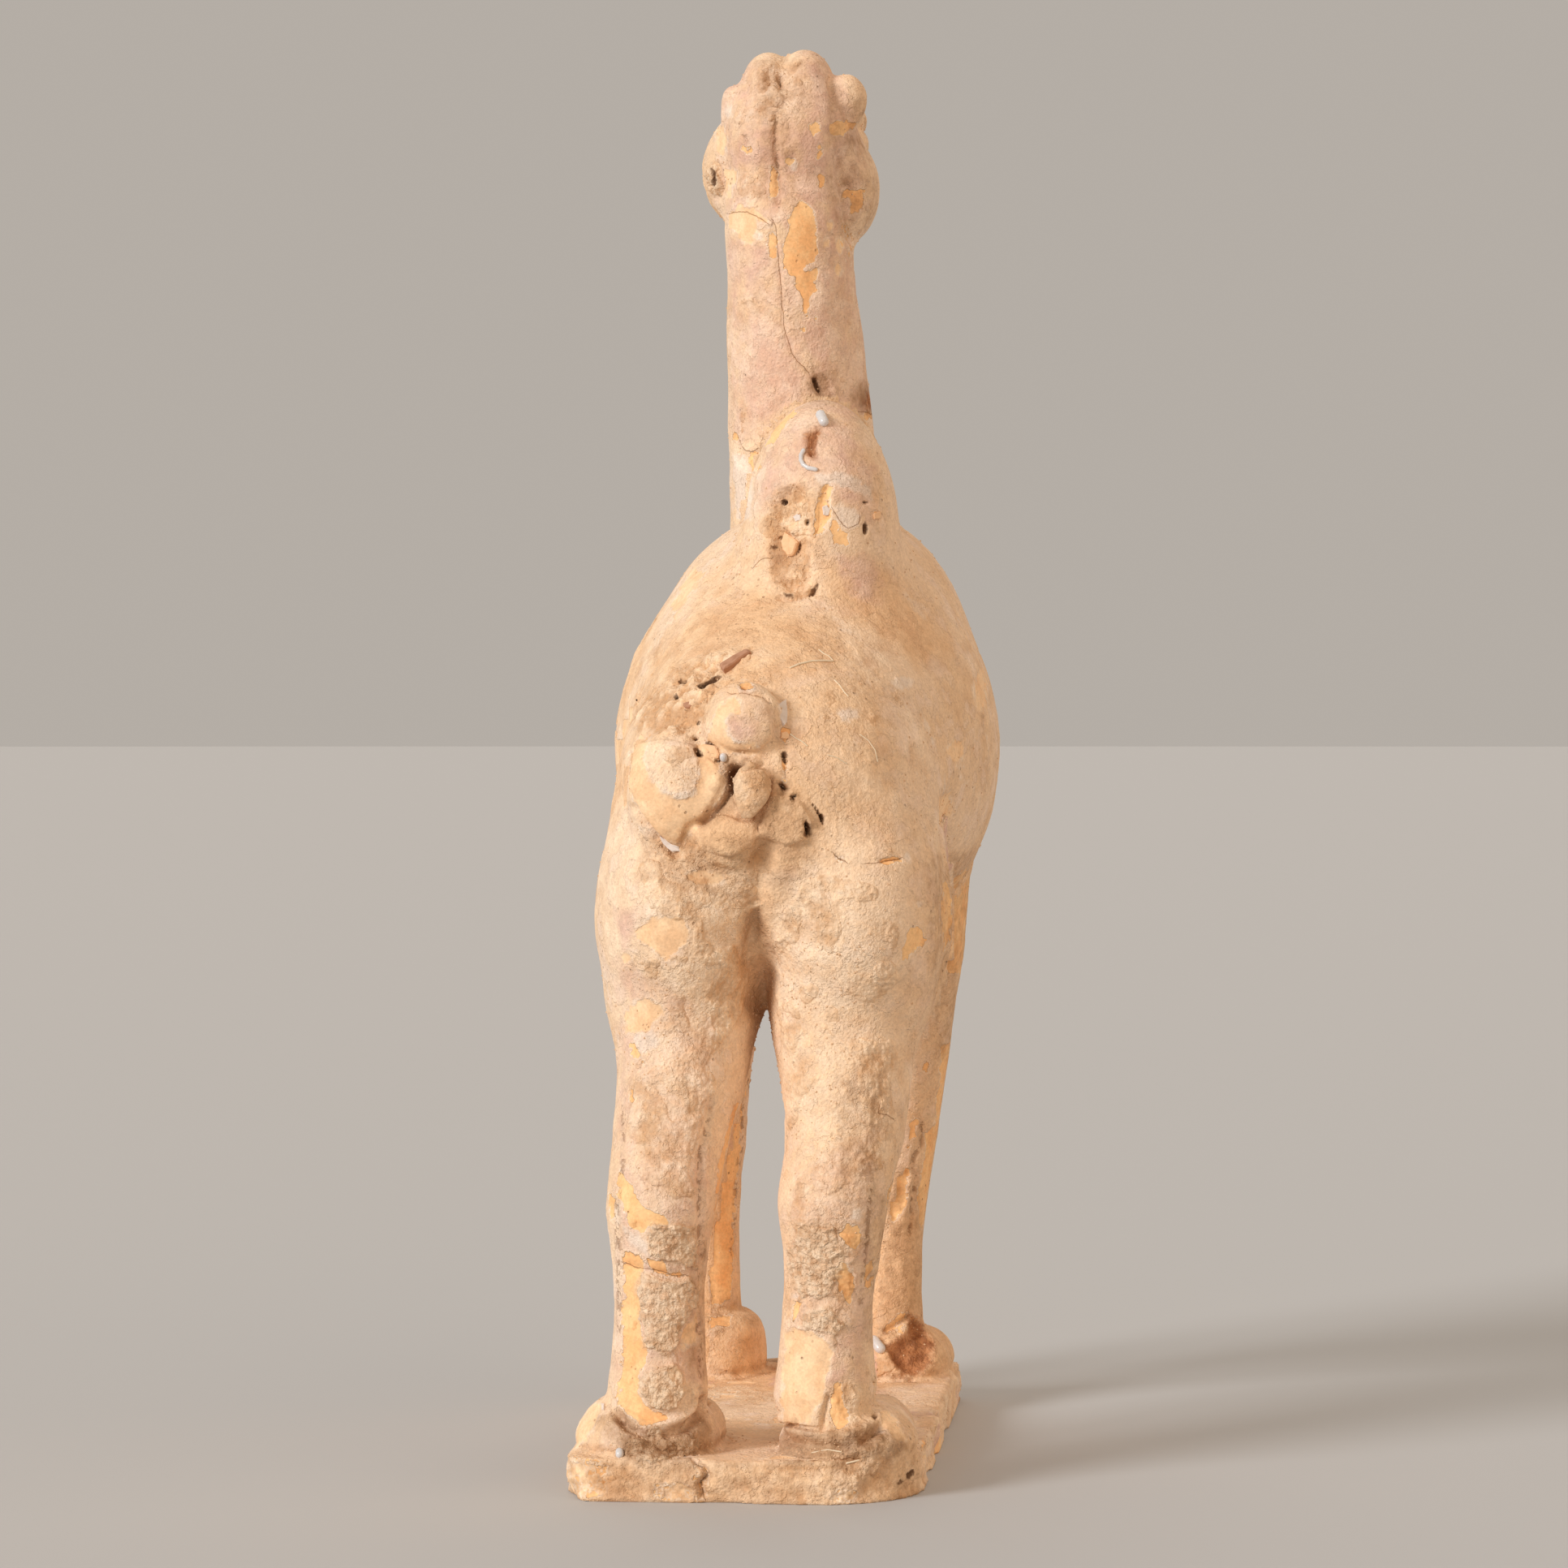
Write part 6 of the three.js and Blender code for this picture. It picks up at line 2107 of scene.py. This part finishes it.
            mark = add(tree, "ShaderNodeMapRange", SMOOTH, links).outputs[0]
            mask = add(tree, "ShaderNodeMath", TIMES, {0: mark, 1: where.outputs[0]}).outputs[0]
            colour = add(tree, "ShaderNodeMix", COLOURS, {0: mask, 6: colour, 7: linear(tint)}).outputs[2]
            height = add(tree, "ShaderNodeMath", TIMES_PLUS, {0: mask, 1: -deep_mm, 2: height}).outputs[0]
        grainy = add(tree, "ShaderNodeMath", TIMES_PLUS, {0: noise["fleck"], 1: 0.8, 2: noise["sand"]})
        links = {0: grainy.outputs[0], 1: 0.62, 2: 1.18, 3: 0.84, 4: 1.12}
        sandy = add(tree, "ShaderNodeMapRange", links=links).outputs[0]
        # Painted shade in the gaps of the relief and painted light on its crests.
        gaps = add(tree, "ShaderNodeMapRange", SMOOTH, {0: fine, 1: -0.75, 2: 0.45})
        links = {0: gaps.outputs[0], 6: linear(self.gap_shade), 7: self.crest_light}
        gap_shade_and_crest_light = add(tree, "ShaderNodeMix", COLOURS, links).outputs[2]
        for tone in (sandy, gap_shade_and_crest_light):
            colour = add(tree, "ShaderNodeMix", TINTS, {0: 1.0, 6: colour, 7: tone}).outputs[2]
        return colour, height


EARTH = SlippedTerracotta(name="dry_earth_coat", dust="F2D6B6", slip_tint="EED2B4")


@dataclass(frozen=True)
class FineStuff:
    """One stuff in two tones that mottle into each other, matt or glossy."""

    name: str
    light: str
    deep: str
    roughness: float = 0.96
    clear: float = 0.0
    mottle_mm: float = 1.6

    def make(self) -> bpy.types.Material:
        """Makes the material."""
        material, tree, shader = new_material(self.name)
        place = add(tree, "ShaderNodeTexCoord").outputs["Object"]
        links = {"Vector": place, "Scale": 1.0 / (self.mottle_mm * MM), "Detail": 2.0}
        tone = add(tree, "ShaderNodeTexNoise", links=links).outputs["Fac"]
        colour = add(tree, "ShaderNodeMix", COLOURS, {0: tone, 6: linear(self.light), 7: linear(self.deep)})
        tree.links.new(colour.outputs[2], shader.inputs["Base Color"])
        shader.inputs["Roughness"].default_value = self.roughness
        shader.inputs["Transmission Weight"].default_value = self.clear
        return material


# Dry loess crumbs scatter light with no sheen, each a little lighter or darker than the next.
LOESS = FineStuff("dry_loess", "EACAA6", "CCA27A")
# A fresh face of the fired clay is a clean orange, and only half matt.
ORANGE_CLAY = FineStuff("orange_fired_clay", "F8D0A4", "EAB484", 0.85)
# The body's core is brown and dull.
BROWN_CLAY = FineStuff("brown_fired_clay", "C8987A", "9C6A4A", 0.9)
# Flaked slip is chalky and a little grey.
CHALKY_SLIP = FineStuff("chalky_slip", "F0E2D6", "D4C0B0", 0.9)
# Old glue shines in small highlights over a milky, half clear body.
OLD_GLUE = FineStuff("old_milky_glue", "F6F3F0", "E4DFDC", 0.2, 0.25)
# A dry rootlet is fibrous, pale straw and matt.
DRY_ROOT = FineStuff("dry_rootlet", "F2E2C8", "D8BE98", 0.85)


@dataclass
class Chips:
    """Flat chips that lie in the dirt, each from its outline in the photograph, with a worn rim."""

    name: str
    finish: FineStuff
    outlines: dict[str, tuple[Outline, float]]
    sunk_mm: float = 1.0
    worn: float = 0.84
    jitter_mm: float = 0.16
    seed: int = 5

    def build(self, skin: ClaySkin) -> bpy.types.Object:
        """Builds the chips as one object, each standing up by the thickness beside its outline."""
        rng = np.random.default_rng(self.seed)
        points, faces, count = [], [], 0
        for outline, thick in self.outlines.values():
            corners = corners_of(outline)
            corners = corners_of(np.stack([corners, (corners + np.roll(corners, -1, axis=0)) / 2.0], axis=1))
            x, y = corners.T
            if (x * np.roll(y, -1) - y * np.roll(x, -1)).sum() > 0.0:
                corners = corners[::-1]
            rim, normals = skin.carry(corners)
            out = normals.mean(1, keepdims=True)
            out = out / np.sqrt((out**2).sum())
            middle = rim.mean(1, keepdims=True)
            flat = rim - out * (out * (rim - middle)).sum(0)
            flat = flat + rng.uniform(-self.jitter_mm, self.jitter_mm, flat.shape)
            top = middle + (flat - middle) * self.worn + out * thick
            rings = (rim - out * self.sunk_mm, flat + out * 0.7 * thick, top)
            points += [*rings, middle - out * self.sunk_mm, middle + out * 1.04 * thick]
            n = rim.shape[1]
            for i in range(n):
                j = (i + 1) % n
                faces.append((count + 3 * n, count + j, count + i))
                faces.append((count + i, count + j, count + n + j, count + n + i))
                faces.append((count + n + i, count + n + j, count + 2 * n + j, count + 2 * n + i))
                faces.append((count + 2 * n + i, count + 2 * n + j, count + 3 * n + 1))
            count += 3 * n + 2
        chips = new_object(self.name, np.concatenate(points, axis=1), faces)
        chips.data.materials.append(self.finish.make())
        return chips


@dataclass
class Cords:
    """Round cords that lie along the clay, each from its path in the photograph, with round ends."""

    name: str
    finish: FineStuff
    paths: dict[str, tuple[Outline, float]]
    sides: int = 8
    raised: float = 0.5
    caps: tuple[float, ...] = (0.98, 0.8, 0.45)

    def build(self, skin: ClaySkin) -> bpy.types.Object:
        """Builds the cords as one object, each as thick as the radius beside its path."""
        points, faces, count = [], [], 0
        turns = np.arange(self.sides) * math.tau / self.sides
        for path, radius in self.paths.values():
            line, normals = skin.carry(path)
            line = line + normals * radius * self.raised
            along = np.gradient(line, axis=1)
            along = unit(along)
            rings = [(line[:, 0] - along[:, 0] * radius * c, 0, math.sqrt(1.0 - c * c)) for c in self.caps]
            rings += [(line[:, i], i, 1.0) for i in range(line.shape[1])]
            for c in self.caps[::-1]:
                rings.append((line[:, -1] + along[:, -1] * radius * c, -1, math.sqrt(1.0 - c * c)))
            for place, i, width in rings:
                across = unit(np.cross(along[:, i], normals[:, i]))
                up = np.cross(across, along[:, i])
                ring = np.outer(across, np.cos(turns)) + np.outer(up, np.sin(turns))
                points.append(place[:, None] + ring * radius * width)
            n = self.sides
            last = count + (len(rings) - 1) * n
            for k in range(len(rings) - 1):
                for i in range(n):
                    j = (i + 1) % n
                    low, high = count + k * n, count + (k + 1) * n
                    faces.append((low + i, high + i, high + j, low + j))
            faces.append(tuple(count + i for i in range(n)))
            faces.append(tuple(last + i for i in reversed(range(n))))
            count += len(rings) * n
        cords = new_object(self.name, np.concatenate(points, axis=1), faces)
        cords.data.materials.append(self.finish.make())
        shade_smooth(cords.data)
        return cords


def strays() -> list[Chips | Cords]:
    """What lies loose on the clay: chips, drops of glue and rootlets."""
    orange = {
        "in_hump": ((961, 655, 971, 661, 980, 668, 977, 678, 971, 684, 965, 683, 958, 676, 957, 667), 1.3),
        "by_seam": ((963, 903, 970, 902, 973, 907, 969, 911, 963, 909), 0.6),
        "in_gap": ((861, 920, 868, 917, 885, 930, 884, 936, 872, 933), 0.9),
        "flap": ((1076, 632, 1084, 630, 1083, 639, 1076, 640), 0.5),
    }
    brown = {
        "over_tail": ((887, 822, 905, 811, 921, 802, 926, 806, 913, 814, 893, 829), 1.5),
        "in_rubble": ((842, 868, 850, 865, 853, 871, 845, 874), 0.8),
    }
    pale = {
        "in_hump": ((974, 635, 979, 632, 984, 633, 984, 640, 978, 642), 0.8),
        "under_tail": ((812, 1032, 822, 1034, 836, 1043, 838, 1049, 828, 1048, 816, 1041), 0.7),
        "seam": ((961, 868, 966, 862, 971, 876, 970, 890, 966, 894, 962, 882), 0.5),
        "shin": ((742, 1731, 746, 1731, 746, 1739, 743, 1739), 0.5),
        "hump_grain": ((1013, 623, 1019, 621, 1023, 628, 1021, 635, 1015, 634), 0.5),
    }
    glue = {
        "hump_drop": ((1011, 513, 1013, 517, 1015, 521), 1.5),
        "hump_hook": ((990, 555, 987, 561, 987, 567, 990, 573, 996, 577, 1001, 578, 1005, 579), 0.66),
        "tail_dot": ((892, 932, 892, 934), 1.1),
        "foot_drop": ((764, 1789, 764, 1793), 1.2),
        "fore_foot": ((1078, 1654, 1081, 1658, 1085, 1663), 1.7),
    }
    roots = {
        "seam": ((974, 904, 981, 909, 988, 913, 995, 919), 0.2),
        "rump": ((1028, 839, 1034, 845, 1040, 853, 1045, 858), 0.2),
        "rump_high": ((1009, 801, 1015, 806, 1021, 809, 1026, 814), 0.2),
        "ridge": ((974, 824, 985, 819, 1000, 816, 1013, 815, 1026, 815), 0.3),
        "flank": ((1060, 905, 1070, 912, 1078, 924, 1082, 938), 0.18),
        "flank_low": ((1020, 930, 1032, 934, 1043, 941), 0.18),
        "slab": ((1044, 1801, 1060, 1799, 1077, 1799), 0.26),
        "heel": ((1000, 1790, 1018, 1786, 1036, 1789), 0.2),
    }
    return [
        Chips("orange_chips", ORANGE_CLAY, orange),
        Chips("brown_chips", BROWN_CLAY, brown),
        Chips("slip_flakes", CHALKY_SLIP, pale),
        Cords("glue_drops", OLD_GLUE, glue),
        Cords("rootlets", DRY_ROOT, roots),
    ]


@dataclass
class EarthGrains:
    """Loose grains of dry earth, thickest in the breaks, on the crusts and in the corners."""

    per_square_mm: float = 0.30
    smallest_mm: float = 0.16
    largest_mm: float = 0.42
    seed: int = 7

    def make_tree(self, material: bpy.types.Material) -> Tree:
        """Makes the tree of nodes that strews the grains.

        Args:
            material: The grains' material.

        Returns:
            The tree, with its sizes as named inputs.
        """
        tree = bpy.data.node_groups.new("earth_grains", "GeometryNodeTree")
        tree.interface.new_socket("Clay", in_out="INPUT", socket_type="NodeSocketGeometry")
        for name in ("Density", "Smallest", "Largest"):
            tree.interface.new_socket(name, in_out="INPUT", socket_type="NodeSocketFloat")
        tree.interface.new_socket("Grains", in_out="OUTPUT", socket_type="NodeSocketGeometry")
        given = add(tree, "NodeGroupInput").outputs
        weight = add(tree, "GeometryNodeInputNamedAttribute", NUMBERS, {"Name": "grains"})
        links = {0: given["Density"], 1: weight.outputs["Attribute"]}
        density = add(tree, "ShaderNodeMath", TIMES, links).outputs[0]
        links = {"Mesh": given["Clay"], "Density": density, "Seed": self.seed}
        places = add(tree, "GeometryNodeDistributePointsOnFaces", links=links).outputs["Points"]
        grain = add(tree, "GeometryNodeMeshIcoSphere", links={"Radius": 1.0, "Subdivisions": 1})
        links = {0: given["Smallest"], 1: given["Largest"], "Seed": self.seed + 1}
        size = add(tree, "FunctionNodeRandomValue", VECTORS, links).outputs["Value"]
        links = {0: (0.0, 0.0, 0.0), 1: (math.tau, math.tau, math.tau), "Seed": self.seed + 2}
        turn = add(tree, "FunctionNodeRandomValue", VECTORS, links).outputs["Value"]
        links = {"Points": places, "Instance": grain.outputs["Mesh"], "Rotation": turn, "Scale": size}
        strewn = add(tree, "GeometryNodeInstanceOnPoints", links=links).outputs["Instances"]
        real = add(tree, "GeometryNodeRealizeInstances", links={"Geometry": strewn}).outputs["Geometry"]
        dressed = add(tree, "GeometryNodeSetMaterial", links={"Geometry": real, "Material": material})
        add(tree, "NodeGroupOutput", links={"Grains": dressed.outputs["Geometry"]})
        return tree

    def build(self, clay: bpy.types.Object, finish: FineStuff) -> bpy.types.Object:
        """Strews the grains over the clay.

        Args:
            clay: The clay's object, whose mesh says how thick they lie.
            finish: The grains' finish.

        Returns:
            The grains, one plain mesh.
        """
        tree = self.make_tree(finish.make())
        carrier = placed("earth_carrier", clay.data)
        strewing = carrier.modifiers.new("strewing", "NODES")
        strewing.node_group = tree
        values = {
            "Density": self.per_square_mm / MM**2,
            "Smallest": self.smallest_mm * MM,
            "Largest": self.largest_mm * MM,
        }
        for item in tree.interface.items_tree:
            if item.item_type == "SOCKET" and item.in_out == "INPUT" and item.name in values:
                strewing[item.identifier] = values[item.name]
        mesh = finished_mesh(carrier)
        bpy.data.objects.remove(carrier)
        mesh.name = "earth_grains"
        return placed("earth_grains", mesh)


@dataclass
class Studio:
    """A pale floor without an end, and soft light: a whiter one from the left, a warm one from the right."""

    floor_radius: float = 60.0
    floor_colour: str = "C0C0BF"
    world_colour: str = "FFF5EA"
    world_strength: float = 0.46
    lights: tuple[tuple[str, Triple, float, float, str], ...] = (
        ("key_light", (0.68, 0.66, 0.37), 20.0, 2.45, "FDFDFF"),
        ("fill_light", (-0.85, 0.50, 0.35), 80.0, 0.86, "FFD4A8"),
        ("front_light", (0.10, -1.00, 0.60), 60.0, 0.5, "FFF4E8"),
    )

    def build(self) -> None:
        """Builds the floor, the lights and the pale surroundings."""
        turns = np.linspace(0.0, 2.0 * math.pi, 65)[:-1]
        rim = np.stack([np.cos(turns), np.sin(turns), 0.0 * turns]) * self.floor_radius / MM
        floor = new_object("pale_floor", rim, [range(64)])
        material, _, shader = new_material("pale_matt_board")
        shader.inputs["Base Color"].default_value = linear(self.floor_colour)
        shader.inputs["Roughness"].default_value = 0.9
        floor.data.materials.append(material)
        for name, place, spread, strength, colour in self.lights:
            data = bpy.data.lights.new(name, "SUN")
            data.angle = math.radians(spread)
            data.energy = strength
            data.color = linear(colour)[:3]
            light = bpy.data.objects.new(name, data)
            light.location = place
            light.rotation_euler = Vector(place).to_track_quat("Z", "Y").to_euler()
            bpy.context.scene.collection.objects.link(light)
        world = bpy.data.worlds.new("pale_surroundings")
        world.use_nodes = True
        background = world.node_tree.nodes["Background"]
        background.inputs["Color"].default_value = linear(self.world_colour)
        background.inputs["Strength"].default_value = self.world_strength
        bpy.context.scene.world = world
        bpy.context.scene.view_settings.view_transform = "Standard"


def main() -> None:
    """Builds the figure's looks and the studio, in order."""
    logging.basicConfig(level=logging.INFO, format="%(name)s: %(message)s")
    view = Viewpoint()
    view.make_camera()
    Studio().build()
    skin = ClaySkin(ClayForm(), view)
    clay = skin.build(SlippedTerracotta())
    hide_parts(CLAY_NODE)
    pieces = [clay]
    pieces += EarthCoat(skin).build(EARTH)
    pieces.append(EarthGrains().build(clay, LOESS))
    pieces += [stray.build(skin) for stray in strays()]
    for piece in pieces:
        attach(piece, BODY)
        faces = sum(len(polygon.vertices) - 2 for polygon in piece.data.polygons)
        log.info("%s: %d triangles", piece.name, faces)


if __name__ == "__main__":
    main()
